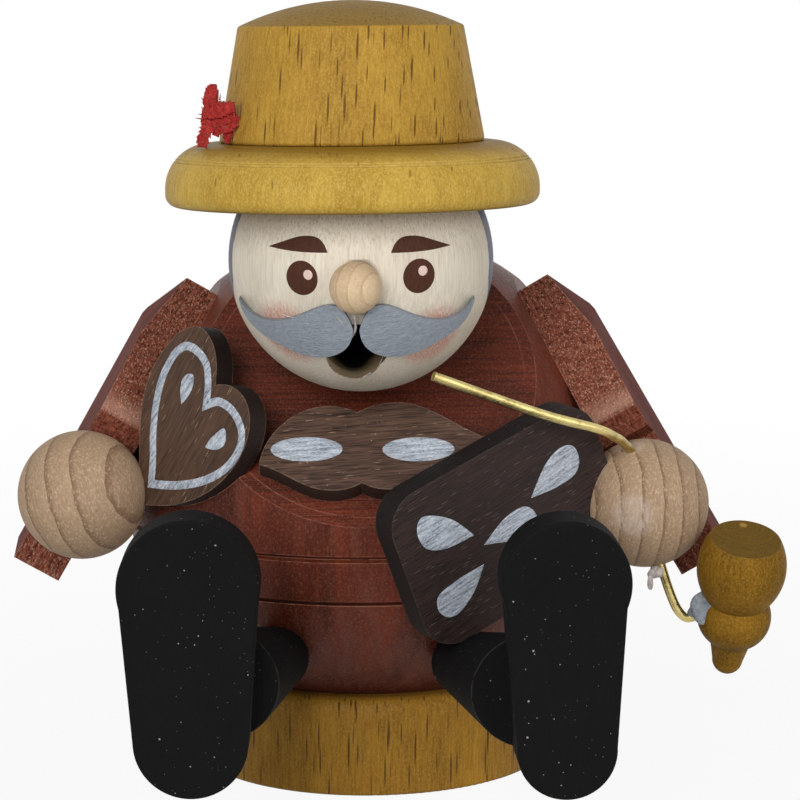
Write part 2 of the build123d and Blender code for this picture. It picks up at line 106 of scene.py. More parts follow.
def facing(azimuth: float, elevation: float) -> Vector:
    """Unit direction.

    Args:
        azimuth: degrees from the front towards the viewer's right.
        elevation: degrees above level.

    Returns:
        The direction.
    """
    side, rise = math.radians(azimuth), math.radians(elevation)
    return Vector((math.sin(side) * math.cos(rise), -math.cos(side) * math.cos(rise), math.sin(rise)))


@dataclass(frozen=True)
class Value:
    """Output of a node, a number or a vector, that arithmetic extends."""

    tree: "Tree"
    socket: bpy.types.NodeSocket

    def combine(self, operation: str, *values: object) -> "Value":
        """Result of a Math or a Vector Math node, after the kind of the socket."""
        node = self.tree.vector if self.socket.type == "VECTOR" else self.tree.math
        return node(operation, *values)

    def __add__(self, other: object) -> "Value":
        """Sum."""
        return self.combine("ADD", self, other)

    def __sub__(self, other: object) -> "Value":
        """Difference."""
        return self.combine("SUBTRACT", self, other)

    def __rsub__(self, other: object) -> "Value":
        """Difference from a number."""
        return self.combine("SUBTRACT", other, self)

    def __mul__(self, other: object) -> "Value":
        """Product."""
        return self.combine("MULTIPLY", self, other)

    def __truediv__(self, other: object) -> "Value":
        """Quotient."""
        return self.combine("DIVIDE", self, other)

    def along(self, direction: Vector | Spot) -> "Value":
        """Distance of a point along a direction."""
        return self.tree.vector("DOT_PRODUCT", self, tuple(direction))

    def remap(self, low: float, high: float, start: float = 0.0, end: float = 1.0) -> "Value":
        """Clamped straight-line change of the range.

        Args:
            low: value that gives start.
            high: value that gives end.
            start: result at low.
            end: result at high.

        Returns:
            The result.
        """
        return self.tree.value("ShaderNodeMapRange", "Result", Value=self, From_Min=low, From_Max=high,
                               To_Min=start, To_Max=end)


@dataclass(frozen=True)
class Tree:
    """A node tree and short ways to fill it."""

    tree: bpy.types.NodeTree

    def node(self, kind: str, settings: dict | None = None, **sockets) -> bpy.types.Node:
        """Add a node.

        Args:
            kind: Blender's name of the node type.
            settings: properties of the node.
            **sockets: inputs by socket name, with _ for a space.

        Returns:
            The node.
        """
        node = self.tree.nodes.new(kind)
        for name, value in (settings or {}).items():
            setattr(node, name, value)
        for name, value in sockets.items():
            self.feed(node.inputs[name.replace("_", " ")], value)
        return node

    def feed(self, socket: bpy.types.NodeSocket, value: object) -> None:
        """Set a socket or link it.

        Args:
            socket: the input.
            value: a value of the tree, a number, a colour or a vector.
        """
        if isinstance(value, Value):
            self.tree.links.new(value.socket, socket)
        elif socket.type == "RGBA":
            socket.default_value = (*value, 1.0)
        else:
            socket.default_value = value

    def take(self, node: bpy.types.Node, *outputs: str | int) -> list[Value]:
        """Some outputs of a node."""
        return [Value(self, node.outputs[output]) for output in outputs]

    def value(self, kind: str, output: str | int = 0, **sockets) -> Value:
        """Add a node and take one output.

        Args:
            kind: Blender's name of the node type.
            output: name or number of the output.
            **sockets: inputs by socket name.

        Returns:
            The output.
        """
        return self.take(self.node(kind, **sockets), output)[0]

    def fill(self, node: bpy.types.Node, output: str, values: tuple) -> Value:
        """Feed a node's inputs in their order.

        Args:
            node: the node.
            output: name of the output to take.
            values: what its inputs get.

        Returns:
            The output.
        """
        for socket, value in zip(node.inputs, values):
            self.feed(socket, value)
        return Value(self, node.outputs[output])

    def math(self, operation: str, *values: object, clamp: bool = False) -> Value:
        """Result of a Math node, kept from 0 to 1 if clamp is set."""
        node = self.node("ShaderNodeMath", {"operation": operation, "use_clamp": clamp})
        return self.fill(node, "Value", values)

    def vector(self, operation: str, *values: object) -> Value:
        """Result of a Vector Math node."""
        output = "Value" if operation in MEASURES else "Vector"
        return self.fill(self.node("ShaderNodeVectorMath", {"operation": operation}), output, values)

    def mix(self, factor: object, first: object, second: object) -> Value:
        """Mix two colours.

        Args:
            factor: share of the second.
            first: first colour.
            second: second colour.

        Returns:
            The mixed colour.
        """
        node = self.node("ShaderNodeMix", {"data_type": "RGBA"})
        for number, value in ((0, factor), (6, first), (7, second)):
            self.feed(node.inputs[number], value)
        return Value(self, node.outputs[2])

    def normal(self) -> Value:
        """Direction of the surface."""
        return self.value("ShaderNodeNewGeometry", "Normal")

    def place(self) -> Value:
        """Point on the piece at rest, in millimetres of the shared frame."""
        return self.value("ShaderNodeTexCoord", "Object") * (1 / MM, 1 / MM, 1 / MM)

    def board_place(self, grain: Spot, outward: Spot, origin: Spot = (0.0, 0.0, 0.0)) -> Value:
        """Point in the axes of a board, its grain along Z.

        Args:
            grain: direction of the grain.
            outward: direction that the board faces.
            origin: point that becomes zero, in millimetres.

        Returns:
            The point.
        """
        place = self.place() - tuple(origin)
        lengthwise = Vector(grain)
        across = lengthwise.cross(Vector(outward)).normalized()
        ways = (across, across.cross(lengthwise).normalized(), lengthwise.normalized())
        parts = [place.along(way) for way in ways]
        return self.value("ShaderNodeCombineXYZ", X=parts[0], Y=parts[1], Z=parts[2])


class Effects:
    """Shader node groups that several finishes share, each built once."""

    streak_contrast: Flat = (0.34, 0.66)
    ring_waviness: float = 0.16
    ring_line: Flat = (0.78, 0.95)
    ring_end: Flat = (0.985, 1.0)
    edge_turn: Flat = (0.985, 0.87)
    edge_gaps: Flat = (0.34, 0.52)
    spot_rim: Flat = (1.0, 0.6)
    crumb_density: float = 1.6
    crumb_depth: float = 0.5
    crumb_sparks: Flat = (0.6, 0.9)

    def __init__(self) -> None:
        """Build every group."""
        self.groups: dict[str, bpy.types.NodeTree] = {}
        self.build_streaks()
        self.build_rings()
        self.build_worn_edge()
        self.build_marks("flecks", 0.55, 0.45)
        self.build_marks("specks", 0.35, 0.3)
        self.build_spot()
        self.build_crumbs()

    def start(self, name: str, vectors: tuple, numbers: tuple, outputs: tuple = ("Mask",)) -> tuple:
        """Begin a group.

        Args:
            name: name of the group.
            vectors: names of its vector inputs.
            numbers: names of its number inputs.
            outputs: names of its outputs, all numbers.

        Returns:
            The tree, its inputs by name, and the sockets that take its outputs.
        """
        group = bpy.data.node_groups.new(name, "ShaderNodeTree")
        kinds = ((vectors, "INPUT", "Vector"), (numbers, "INPUT", "Float"), (outputs, "OUTPUT", "Float"))
        for names, way, kind in kinds:
            for socket in names:
                group.interface.new_socket(socket, in_out=way, socket_type=f"NodeSocket{kind}")
        self.groups[name] = group
        tree = Tree(group)
        names = vectors + numbers
        given = dict(zip(names, tree.take(tree.node("NodeGroupInput"), *names)))
        return tree, given, tree.node("NodeGroupOutput").inputs

    def build_streaks(self) -> None:
        """Uneven streaks after Stretch: grain, brush marks, saw marks or cloudy stain."""
        tree, given, taken = self.start("streaks", ("Place", "Stretch"), ("Detail",))
        noise = tree.value("ShaderNodeTexNoise", "Fac", Vector=given["Place"] * given["Stretch"],
                           Scale=1.0, Detail=given["Detail"], Roughness=0.6)
        tree.feed(taken["Mask"], noise.remap(*self.streak_contrast))

    def build_rings(self) -> None:
        """Growth rings round Z: each darkens slowly outwards and ends in a line."""
        tree, given, taken = self.start("growth_rings", ("Place",), ("Spacing", "Wobble"),
                                        ("Band", "Line"))
        noise = tree.value("ShaderNodeTexNoise", "Fac", Vector=given["Place"], Detail=2.0,
                           Scale=self.ring_waviness)
        radius = tree.vector("LENGTH", given["Place"] * (1.0, 1.0, 0.0))
        share = tree.math("FRACT", (radius + (noise - 0.5) * given["Wobble"]) / given["Spacing"])
        tree.feed(taken["Band"], share)
        line = share.remap(*self.ring_line) * share.remap(*self.ring_end, 1.0, 0.0)
        tree.feed(taken["Line"], line)

    def build_worn_edge(self) -> None:
        """Rubbed edges: where the surface turns within Radius of the point."""
        tree, given, taken = self.start("worn_edge", ("Place",), ("Radius",))
        bevel = tree.take(tree.node("ShaderNodeBevel", {"samples": 6}, Radius=given["Radius"]), 0)[0]
        turn = tree.vector("DOT_PRODUCT", bevel, tree.normal())
        noise = tree.value("ShaderNodeTexNoise", "Fac", Vector=given["Place"], Scale=1.1, Detail=4.0)
        tree.feed(taken["Mask"], turn.remap(*self.edge_turn) * noise.remap(*self.edge_gaps))

    def build_marks(self, name: str, smallest: float, rim: float) -> None:
        """Scattered marks, one to a cell of the size of Spread: rays, fibres, pores or dust.

        Args:
            name: name of the group.
            smallest: size of the smallest mark as a share of Size.
            rim: share of the mark in which it fades.
        """
        tree, given, taken = self.start(name, ("Place", "Spread"), ("Size", "Share"))
        cells = tree.node("ShaderNodeTexVoronoi", Vector=given["Place"] / given["Spread"], Scale=1.0)
        distance, colour = tree.take(cells, "Distance", "Color")
        chance, size = tree.take(tree.node("ShaderNodeSeparateColor", Color=colour), 0, 1)
        reach = size.remap(0.0, 1.0, smallest, 1.0) * given["Size"]
        inside = tree.math("SUBTRACT", 1.0, distance / reach, clamp=True)
        tree.feed(taken["Mask"], inside.remap(0.0, rim) * tree.math("LESS_THAN", chance, given["Share"]))

    def build_spot(self) -> None:
        """Soft round patch about a point."""
        tree, given, taken = self.start("spot", ("Place", "Centre"), ("Radius",))
        share = tree.vector("DISTANCE", given["Place"], given["Centre"]) / given["Radius"]
        tree.feed(taken["Mask"], share.remap(*self.spot_rim))

    def build_crumbs(self) -> None:
        """Torn, grainy surface of a coarse saw cut."""
        tree, given, taken = self.start("crumbs", ("Place",), ("Scale",), ("Height", "Spark"))
        coarse = tree.value("ShaderNodeTexNoise", "Fac", Vector=given["Place"], Scale=given["Scale"],
                            Detail=3.0, Roughness=0.65, Distortion=0.6)
        cells = tree.node("ShaderNodeTexVoronoi", Vector=given["Place"],
                          Scale=given["Scale"] * self.crumb_density)
        distance, colour = tree.take(cells, "Distance", "Color")
        tree.feed(taken["Height"], coarse - distance * self.crumb_depth)
        chance = tree.value("ShaderNodeSeparateColor", Color=colour)
        tree.feed(taken["Spark"], chance.remap(*self.crumb_sparks))

    def use(self, tree: Tree, name: str, **sockets) -> dict[str, Value]:
        """Place a group in a material.

        Args:
            tree: the material's tree.
            name: name of the group.
            **sockets: inputs by name.

        Returns:
            The group's outputs by name.
        """
        node = tree.node("ShaderNodeGroup", {"node_tree": self.groups[name]}, **sockets)
        return {socket.name: Value(tree, socket) for socket in node.outputs}

    def mask(self, tree: Tree, name: str, **sockets) -> Value:
        """Place a group that has only a mask."""
        return self.use(tree, name, **sockets)["Mask"]


EFFECTS = Effects()


@dataclass(frozen=True)
class Marks:
    """Scattered marks: a cell's size in millimetres, a mark's in cells, share of the cells, and weight."""

    spread: Spot
    size: float
    share: float
    weight: float = 0.85
    kind: str = "flecks"

    def mask(self, tree: Tree, place: Value) -> Value:
        """Where the marks are."""
        return EFFECTS.mask(tree, self.kind, Place=place, Spread=self.spread, Size=self.size,
                            Share=self.share)


@dataclass(frozen=True)
class Streaks:
    """A layer of streaks: how dense it is along each axis, its octaves, and its weight in a blend."""

    density: Spot
    octaves: float = 5.0
    weight: float = 1.0

    def tone(self, tree: Tree, place: Value) -> Value:
        """Tone of the layer from 0 to 1."""
        return EFFECTS.mask(tree, "streaks", Place=place, Stretch=self.density, Detail=self.octaves)


@dataclass(frozen=True)
class Finish:
    """A finish: the plain values of its shader, its relief, and how its edges are rubbed."""

    name: str
    roughness: float = 0.5
    metallic: float = 0.0
    specular: float = 0.5
    sheen: float = 0.0
    sheen_tint: Colour = (1.0, 1.0, 1.0)
    sheen_roughness: float = 0.35
    polish: Flat = (-0.05, 0.1)
    depth: float = 0.02
    rub: Colour = shade(168, 140, 118)
    rub_width: float = 0.35
    rub_weight: float = 0.4

    def material(self) -> bpy.types.Material:
        """Build the material.

        Returns:
            The material, with the nodes of its paint method.
        """
        material = bpy.data.materials.new(self.name)
        material.use_nodes = True
        tree = Tree(material.node_tree)
        shader = material.node_tree.nodes["Principled BSDF"].inputs
        colour, gloss, height = self.paint(tree)
        rough = [self.roughness + change for change in self.polish]
        values = {"Base Color": colour, "Roughness": gloss.remap(0.0, 1.0, *rough),
                  "Metallic": self.metallic, "Specular IOR Level": self.specular,
                  "Sheen Weight": self.sheen, "Sheen Roughness": self.sheen_roughness,
                  "Sheen Tint": self.sheen_tint,
                  "Normal": tree.value("ShaderNodeBump", Distance=self.depth * MM, Height=height)}
        for socket, value in values.items():
            tree.feed(shader[socket], value)
        return material

    def paint(self, tree: Tree) -> tuple[Value, Value, Value]:
        """Lay the finish.

        Args:
            tree: the material's tree.

        Returns:
            Its colour, where it loses its polish, and its height.
        """
        raise NotImplementedError

    def tones(self, tree: Tree, place: Value, names: str) -> SimpleNamespace:
        """Tones of the named layers of streaks."""
        return SimpleNamespace(**{name: getattr(self, name).tone(tree, place) for name in names.split()})

    def blend(self, tone: SimpleNamespace, names: str) -> Value:
        """Weighted sum of the named layers."""
        first, *others = (getattr(tone, name) * getattr(self, name).weight for name in names.split())
        return sum(others, first)

    def rubbed(self, tree: Tree, place: Value, colour: Value) -> Value:
        """Colour with its edges rubbed."""
        edge = EFFECTS.mask(tree, "worn_edge", Place=place, Radius=self.rub_width * MM)
        return tree.mix(edge * self.rub_weight, colour, self.rub)


@dataclass(frozen=True, kw_only=True)
class TurnedBeech(Finish):
    """Stained beech turned on the lathe, its grain upright and its rays showing as dark flecks."""

    light: Colour
    dark: Colour
    ray: Colour
    end: Colour
    end_dark: Colour
    flecks: Marks
    grain: Spot = (0.02, 0.03, 1.0)
    axis: Spot = (0.0, 0.0, 0.0)
    centre_mark: Flat = (0.01, 0.004)
    rub_width: float = 0.5
    polish: Flat = (-0.07, 0.12)
    depth: float = 0.06
    cloud: Streaks = Streaks((0.17, 0.17, 0.05), 3.0, 0.5)
    fine: Streaks = Streaks((3.0, 3.0, 0.24), 5.0, 0.5)
    dots: Streaks = Streaks((4.4, 4.4, 2.8), 3.0, 0.35)
    turning: Streaks = Streaks((2.4, 1.0, 1.0), 3.0, 0.65)
    dotted: tuple = (0.35, 1.0, 0.0, 0.42)
    end_slope: Flat = (0.72, 0.97)
    end_weight: float = 0.85
    grain_height: float = 0.4

    def paint(self, tree: Tree) -> tuple[Value, Value, Value]:
        """Clouds of stain, fine grain, rays, darker end grain and rubbed edges."""
        place = tree.board_place(self.grain, FRONT, self.axis)
        tone = self.tones(tree, place, "cloud fine dots")
        colour = tree.mix(self.blend(tone, "fine cloud"), self.light, self.dark)
        colour = tree.mix(tone.dots.remap(*self.dotted), colour, self.rub)
        rays = self.flecks.mask(tree, place)
        colour = tree.mix(rays * self.flecks.weight, colour, self.ray)
        end = tree.math("ABSOLUTE", tree.normal().along(UP)).remap(*self.end_slope)
        radius = tree.vector("LENGTH", place * (1.0, 1.0, 0.0))
        tone.turning = self.turning.tone(tree, tree.value("ShaderNodeCombineXYZ", X=radius))
        end_colour = tree.mix(self.blend(tone, "turning dots"), self.end, self.end_dark)
        colour = tree.mix(end * self.end_weight, colour, end_colour)
        colour = tree.mix(end * radius.remap(*self.centre_mark), colour, self.rub)
        height = (tone.fine + tone.dots) * self.grain_height - rays
        return self.rubbed(tree, place, colour), tone.fine, height


@dataclass(frozen=True, kw_only=True)
class BodyStain(Finish):
    """Red-brown stain on the turned ball: upright columns of grain, level saw marks on the slanted flat."""

    flat_centre: Spot
    flat_facing: Spot
    light: Colour = shade(116, 48, 27)
    dark: Colour = shade(52, 19, 10)
    grey: Colour = shade(104, 60, 48)
    rub: Colour = shade(196, 132, 106)
    rub_width: float = 0.28
    rub_weight: float = 0.8
    polish: Flat = (-0.06, 0.1)
    depth: float = 0.045
    column: Streaks = Streaks((0.2, 0.12, 0.012), 2.5, 0.65)
    fine: Streaks = Streaks((2.8, 2.8, 0.2), 5.0, 0.35)
    haze: Streaks = Streaks((0.34, 0.2, 0.03), 3.0)
    turned: Streaks = Streaks((0.03, 0.03, 5.5), 3.0, 0.35)
    level: Streaks = Streaks((0.09, 2.8, 2.8), 4.0, 0.6)
    patch: Streaks = Streaks((0.07, 0.2, 0.2), 2.0, 0.4)
    dots: Streaks = Streaks((3.6, 3.6, 2.6), 2.0)
    # Painted shade: from 25 mm down to 12 mm height the ball goes towards the dark colour, by up to three
    # quarters.
    foot: tuple = (25.0, 12.0, 0.0, 0.75)
    hazy: tuple = (0.5, 0.85, 0.0, 0.4)
    dotted: tuple = (0.5, 1.0, 0.0, 0.13)
    flat_slope: Flat = (0.995, 0.999)
    scratch_grain: Spot = (1.0, 0.0, 0.04)
    scratches: Marks = Marks((0.7, 0.7, 14.0), 0.16, 0.6, 0.22)
    scored: float = 21.4
    score_rim: Flat = (0.13, 0.04)
    score_gaps: tuple = (0.2, 0.6, 0.0, 0.25)

    def paint(self, tree: Tree) -> tuple[Value, Value, Value]:
        """Columns, turning lines, painted shade towards the bottom, saw marks with a scored arc, and rubbed
        edges.
        """
        place = tree.place()
        tone = self.tones(tree, place, "column fine haze turned level patch dots")
        ball = tree.mix(self.blend(tone, "column fine"), self.dark, self.light)
        # Painted shade: the lower ball is drawn darker, as if shaded from above.
        ball = tree.mix(place.along(UP).remap(*self.foot), ball, self.dark)
        ball = tree.mix(tone.haze.remap(*self.hazy), ball, self.grey)
        flat = tree.normal().along(self.flat_facing).remap(*self.flat_slope)
        sawn = tree.mix(self.blend(tone, "level patch"), self.dark, self.light)
        scratch = self.scratches.mask(tree, tree.board_place(self.scratch_grain, self.flat_facing))
        sawn = tree.mix(scratch * self.scratches.weight, sawn, self.rub)
        off_score = tree.math("ABSOLUTE", tree.vector("DISTANCE", place, self.flat_centre) - self.scored)
        score = off_score.remap(*self.score_rim) * tone.haze.remap(*self.score_gaps)
        colour = tree.mix(flat, ball, tree.mix(score, sawn, self.rub))
        colour = tree.mix(tone.dots.remap(*self.dotted), colour, self.rub)
        height = tone.fine + tone.turned * self.turned.weight + tone.level * flat
        return self.rubbed(tree, place, colour), tone.fine, height


@dataclass(frozen=True, kw_only=True)
class ArmStain(Finish):
    """Arm board: torn sawn edges with shiny spots and painted highlights on their upward crumbs, and smooth
    grey-mauve sides.
    """

    outward: Spot
    grain: Spot
    combed_to: Flat = (-40.5, -42.0)
    cuff: float = -27.4
    side: Colour = shade(126, 72, 64)
    side_dark: Colour = shade(98, 50, 42)
    cut: Colour = shade(176, 102, 80)
    cut_dark: Colour = shade(78, 31, 23)
    # Light colour of the rubbed edges and the cuff's band, and also of the painted highlights on the crumbs.
    rub: Colour = shade(238, 190, 164)
    rub_weight: float = 0.3
    polish: Flat = (0.0, -0.2)
    depth: float = 0.16
    fine: Streaks = Streaks((2.6, 2.6, 0.3), 5.0, 0.4)
    cloud: Streaks = Streaks((0.14, 0.14, 0.05), 2.0, 0.6)
    coarse: Streaks = Streaks((1.3, 1.3, 0.5), 5.0, 0.2)
    thin: Streaks = Streaks((3.0, 3.0, 1.1), 4.0, 0.4)
    ridges: Streaks = Streaks((0.6, 0.6, 2.6), 4.0, 0.4)
    combed: Streaks = Streaks((2.6, 2.6, 0.16))
    sparkle: Streaks = Streaks((5.0, 5.0, 2.4), 4.0)
    side_slope: Flat = (0.75, 0.45)
    crumbs: float = 1.5
    ragged: float = 1.5
    cuff_comb: tuple = (-0.8, 0.0, 0.0, 0.7)
    hem: Flat = (-3.0, -0.8)
    hem_end: tuple = (0.4, -0.2, 0.0, 0.38)
    shine_and_highlight_range: Flat = (0.5, 0.9)
    crests: Flat = (0.05, 0.3)
    painted_highlight_facing_up: tuple = (-0.45, 0.1, 0.0, 0.6)
    torn_height: float = 0.7
    side_height: float = 0.25

    def paint(self, tree: Tree) -> tuple[Value, Value, Value]:
        """Smooth sides, and over them the torn edges, combed at the top and at the cuff, with painted
        highlights on crumbs that face up.
        """
        place = tree.board_place(self.grain, self.outward)
        tone = self.tones(tree, place, "fine cloud coarse thin ridges combed sparkle")
        normal = tree.normal()
        smooth = tree.mix(self.blend(tone, "fine cloud"), self.side_dark, self.side)
        sawn = tree.math("ABSOLUTE", normal.along(self.outward)).remap(*self.side_slope)
        torn = EFFECTS.use(tree, "crumbs", Place=place, Scale=self.crumbs)["Height"]
        down = place.along(UP)
        from_cuff = down - self.cuff
        combing = tree.math("MAXIMUM", (tone.coarse * self.ragged + down).remap(*self.combed_to),
                            from_cuff.remap(*self.cuff_comb))
        shading = self.blend(tone, "coarse ridges thin") * (1.0 - combing) + tone.combed * combing
        edge = tree.mix(shading, self.cut_dark, self.cut)
        # Shiny spots on the crumbs' crests: they get a lower roughness, and where they face up a painted
        # highlight in the light colour.
        glint = tone.sparkle.remap(*self.shine_and_highlight_range) * torn.remap(*self.crests)
        edge = tree.mix(glint * normal.along(UP).remap(*self.painted_highlight_facing_up), edge, self.rub)
        edge = tree.mix(from_cuff.remap(*self.hem) * from_cuff.remap(*self.hem_end), edge, self.rub)
        colour = self.rubbed(tree, place, tree.mix(sawn, smooth, edge))
        rough = (torn * self.torn_height + tone.ridges + tone.thin) * sawn
        return colour, glint, rough + tone.fine * self.side_height


@dataclass(frozen=True, kw_only=True)
class FacePaint(Finish):
    """Cream stain on the head ball, brushed cheeks, painted hair behind, bare wood in the bores going to soot
    and painted shade, and painted shade under the chin and the brim.
    """

    centre: Spot
    radius: float
    cheeks: tuple[Spot, ...]
    light: Colour = shade(242, 233, 215)
    dark: Colour = shade(208, 194, 173)
    line: Colour = shade(150, 132, 112)
    hair: Colour = shade(98, 101, 116)
    hair_dark: Colour = shade(72, 74, 88)
    blush: Colour = shade(206, 128, 112)
    bare: Colour = shade(128, 108, 80)
    # Near-black of soot and painted shade deep in the bores, and of the painted hole below the mouth.
    soot_and_painted_shade: Colour = shade(6, 4, 3)
    polish: Flat = (-0.05, 0.08)
    fine: Streaks = Streaks((2.8, 2.8, 0.16), 5.0, 0.45)
    thin: Streaks = Streaks((5.0, 5.0, 0.18), 2.0)
    cloud: Streaks = Streaks((0.16, 0.16, 0.08), 2.0, 0.35)
    lined: Flat = (0.6, 0.95)
    # Grain lines grow stronger towards the top of the head: partly grain, partly painted shade under the
    # brim.
    lines_and_brim_shade_high: tuple = (1.0, 8.0, 0.15, 0.5)
    # Painted shade: the head goes towards the line colour from 11 mm to 17 mm below its centre.
    chin_painted_shade: tuple = (-11.0, -17.0, 0.0, 0.45)
    brushed: tuple = (0.1, 0.75, 0.25, 1.0)
    cheek_radius: float = 5.4
    blush_weight: float = 0.85
    hairline: tuple = (-2.0, -10.0, -5.0, 0.5)
    hair_rim: Flat = (0.05, 0.2)
    hair_streaks: float = 0.3
    hair_brushed: float = 0.25
    bore: Flat = (0.06, 0.16)
    smoked_and_shaded_depth: Flat = (0.3, 2.0)
    ragged: float = 2.2
    mouth: Spot = (-0.9, 0.0, -10.75)
    mouth_reach: float = 3.8
    mouth_back: tuple = (-2.0, 2.0, 0.0, 9.0)
    mouth_brushed: float = 0.2
    lip_rim: Flat = (0.0, 0.12)
    lip_into_painted_hole: Flat = (0.5, 1.6)

    def paint(self, tree: Tree) -> tuple[Value, Value, Value]:
        """Skin with painted shade under the chin and the brim, cheeks, hair, bores, and the lower crescent of
        the mouth painted as a hole's edge.
        """
        place = tree.place() - self.centre
        tone = self.tones(tree, place, "fine thin cloud")
        rise, behind = place.along(UP), place.along(BACK)
        colour = tree.mix(self.blend(tone, "fine cloud"), self.light, self.dark)
        # Grain lines, stronger towards the top as painted shade under the brim.
        colour = tree.mix(tone.thin.remap(*self.lined) * rise.remap(*self.lines_and_brim_shade_high), colour, self.line)
        # Painted shade under the chin.
        colour = tree.mix(rise.remap(*self.chin_painted_shade), colour, self.line)
        brushed = tone.thin.remap(*self.brushed) * self.blush_weight
        for cheek in self.cheeks:
            spot = EFFECTS.mask(tree, "spot", Place=place, Centre=cheek, Radius=self.cheek_radius)
            colour = tree.mix(spot * brushed, colour, self.blush)
        hair = (tone.thin * self.hair_brushed + behind - rise.remap(*self.hairline)).remap(*self.hair_rim)
        colour = tree.mix(hair, colour, tree.mix(tone.fine * self.hair_streaks, self.hair, self.hair_dark))
        sunk = self.radius - tree.vector("LENGTH", place)
        colour = tree.mix(sunk.remap(*self.bore), colour, self.bare)
        off_mouth = tree.vector("DISTANCE", place * (1.0, 0.0, 1.0), self.mouth)
        off_mouth = off_mouth + behind.remap(*self.mouth_back) + tone.thin * self.mouth_brushed
        within = self.mouth_reach - off_mouth
        # Painted hole edge below the mouth: a crescent of bare wood that darkens inwards to painted shade, as
        # though the bore were wider.
        lip_into_painted_hole = tree.mix(within.remap(*self.lip_into_painted_hole), self.bare, self.soot_and_painted_shade)
        colour = tree.mix(within.remap(*self.lip_rim), colour, lip_into_painted_hole)
        # Deep in the bores the colour goes near black: soot and painted shade.
        colour = tree.mix((sunk - tone.cloud * self.ragged).remap(*self.smoked_and_shaded_depth), colour, self.soot_and_painted_shade)
        return colour, tone.thin, tone.thin + tone.fine


@dataclass(frozen=True, kw_only=True)
class BareBeech(Finish):
    """Bare sanded wood with its growth rings."""

    light: Colour = shade(188, 160, 130)
    dark: Colour = shade(142, 112, 85)
    line: Colour = shade(112, 82, 60)
    pale: Colour = shade(236, 208, 178)
    smeared: Colour = shade(214, 196, 184)
    grain: Spot = (0.0, 0.0, 1.0)
    pith: Spot = (0.0, 0.0, 0.0)
    spacing: float = 2.9
    wobble: float = 2.0
    band_weight: float = 0.4
    line_weight: float = 0.6
    smears: tuple = ()
    depth: float = 0.03
    fine: Streaks = Streaks((3.4, 3.4, 0.4), 4.0, 0.4)
    dots: Streaks = Streaks((3.6, 3.6, 1.9), 2.0)
    pores: Marks = Marks((0.34, 0.34, 0.34), 0.3, 0.5, 0.42, "specks")
    dotted: tuple = (0.6, 1.0, 0.0, 0.35)
    smear_gaps: tuple = (0.15, 0.8, 0.1, 0.6)
    fine_height: float = 0.6

    def paint(self, tree: Tree) -> tuple[Value, Value, Value]:
        """Ring bands, fibres, pores and smears of glue."""
        place = tree.board_place(self.grain, FRONT, self.pith)
        tone = self.tones(tree, place, "fine dots")
        rings = EFFECTS.use(tree, "growth_rings", Place=place, Spacing=self.spacing, Wobble=self.wobble)
        shading = rings["Band"] * self.band_weight + tone.fine * self.fine.weight
        colour = tree.mix(shading, self.light, self.dark)
        colour = tree.mix(rings["Line"] * self.line_weight, colour, self.line)
        pores = self.pores.mask(tree, place)
        colour = tree.mix(pores * self.pores.weight, colour, self.line)
        colour = tree.mix(tone.dots.remap(*self.dotted), colour, self.pale)
        for centre, radius in self.smears:
            smear = EFFECTS.mask(tree, "spot", Place=tree.place(), Centre=centre, Radius=radius)
            colour = tree.mix(smear * tone.fine.remap(*self.smear_gaps), colour, self.smeared)
        return colour, tone.dots, tone.fine * self.fine_height - (rings["Line"] + pores)


@dataclass(frozen=True, kw_only=True)
class Gingerbread(Finish):
    """Brown-stained sawn board: grained face, dark walls, light rubbed edges."""

    light: Colour = shade(104, 76, 58)
    dark: Colour = shade(38, 24, 17)
    wall: Colour = shade(38, 27, 22)
    dust: Colour = shade(206, 190, 172)
    grain: Spot = (1.0, 0.0, 0.0)
    outward: Spot = tuple(FRONT)
    rub_width: float = 0.24
    rub_weight: float = 0.6
    polish: Flat = (-0.08, 0.1)
    depth: float = 0.06
    fine: Streaks = Streaks((3.6, 3.6, 0.26), 6.0, 0.8)
    cloud: Streaks = Streaks((0.3, 0.3, 0.05), 2.0, 0.2)
    fibres: Marks = Marks((0.34, 0.34, 2.6), 0.3, 0.35, 0.75)
    specks: Marks = Marks((0.9, 0.9, 0.9), 0.11, 0.3, 0.8, "specks")
    face_slope: Flat = (0.6, 0.9)
    wall_streaks: float = 0.5

    def paint(self, tree: Tree) -> tuple[Value, Value, Value]:
        """Face, walls, light fibres, rubbed edge and dust."""
        place = tree.board_place(self.grain, self.outward)
        tone = self.tones(tree, place, "fine cloud")
        fibres = self.fibres.mask(tree, place)
        face = tree.mix(self.blend(tone, "fine cloud"), self.dark, self.light)
        face = tree.mix(fibres * self.fibres.weight, face, self.rub)
        wall = tree.mix(tone.fine * self.wall_streaks, self.wall, self.dark)
        front = tree.normal().along(self.outward).remap(*self.face_slope)
        colour = self.rubbed(tree, place, tree.mix(front, wall, face))
        dust = self.specks.mask(tree, place) * self.specks.weight
        return tree.mix(dust, colour, self.dust), tone.fine, tone.fine + fibres


@dataclass(frozen=True, kw_only=True)
class PrintedPaint(Finish):
    """Thin paint through which the wood's streaks still show."""

    paint_colour: Colour = shade(80, 43, 26)
    through: Colour = shade(50, 26, 16)
    grain: Spot = (0.0, 0.0, 1.0)
    outward: Spot = tuple(FRONT)
    amount: float = 0.5
    fine: Streaks = Streaks((4.0, 4.0, 0.4), 4.0, 0.6)
    dots: Streaks = Streaks((5.2, 5.2, 2.4), 2.0, 0.4)

    def paint(self, tree: Tree) -> tuple[Value, Value, Value]:
        """Paint, with streaks and speckles of what is under it."""
        tone = self.tones(tree, tree.board_place(self.grain, self.outward), "fine dots")
        colour = tree.mix(self.blend(tone, "dots fine") * self.amount, self.paint_colour, self.through)
        return colour, tone.dots, tone.fine + tone.dots


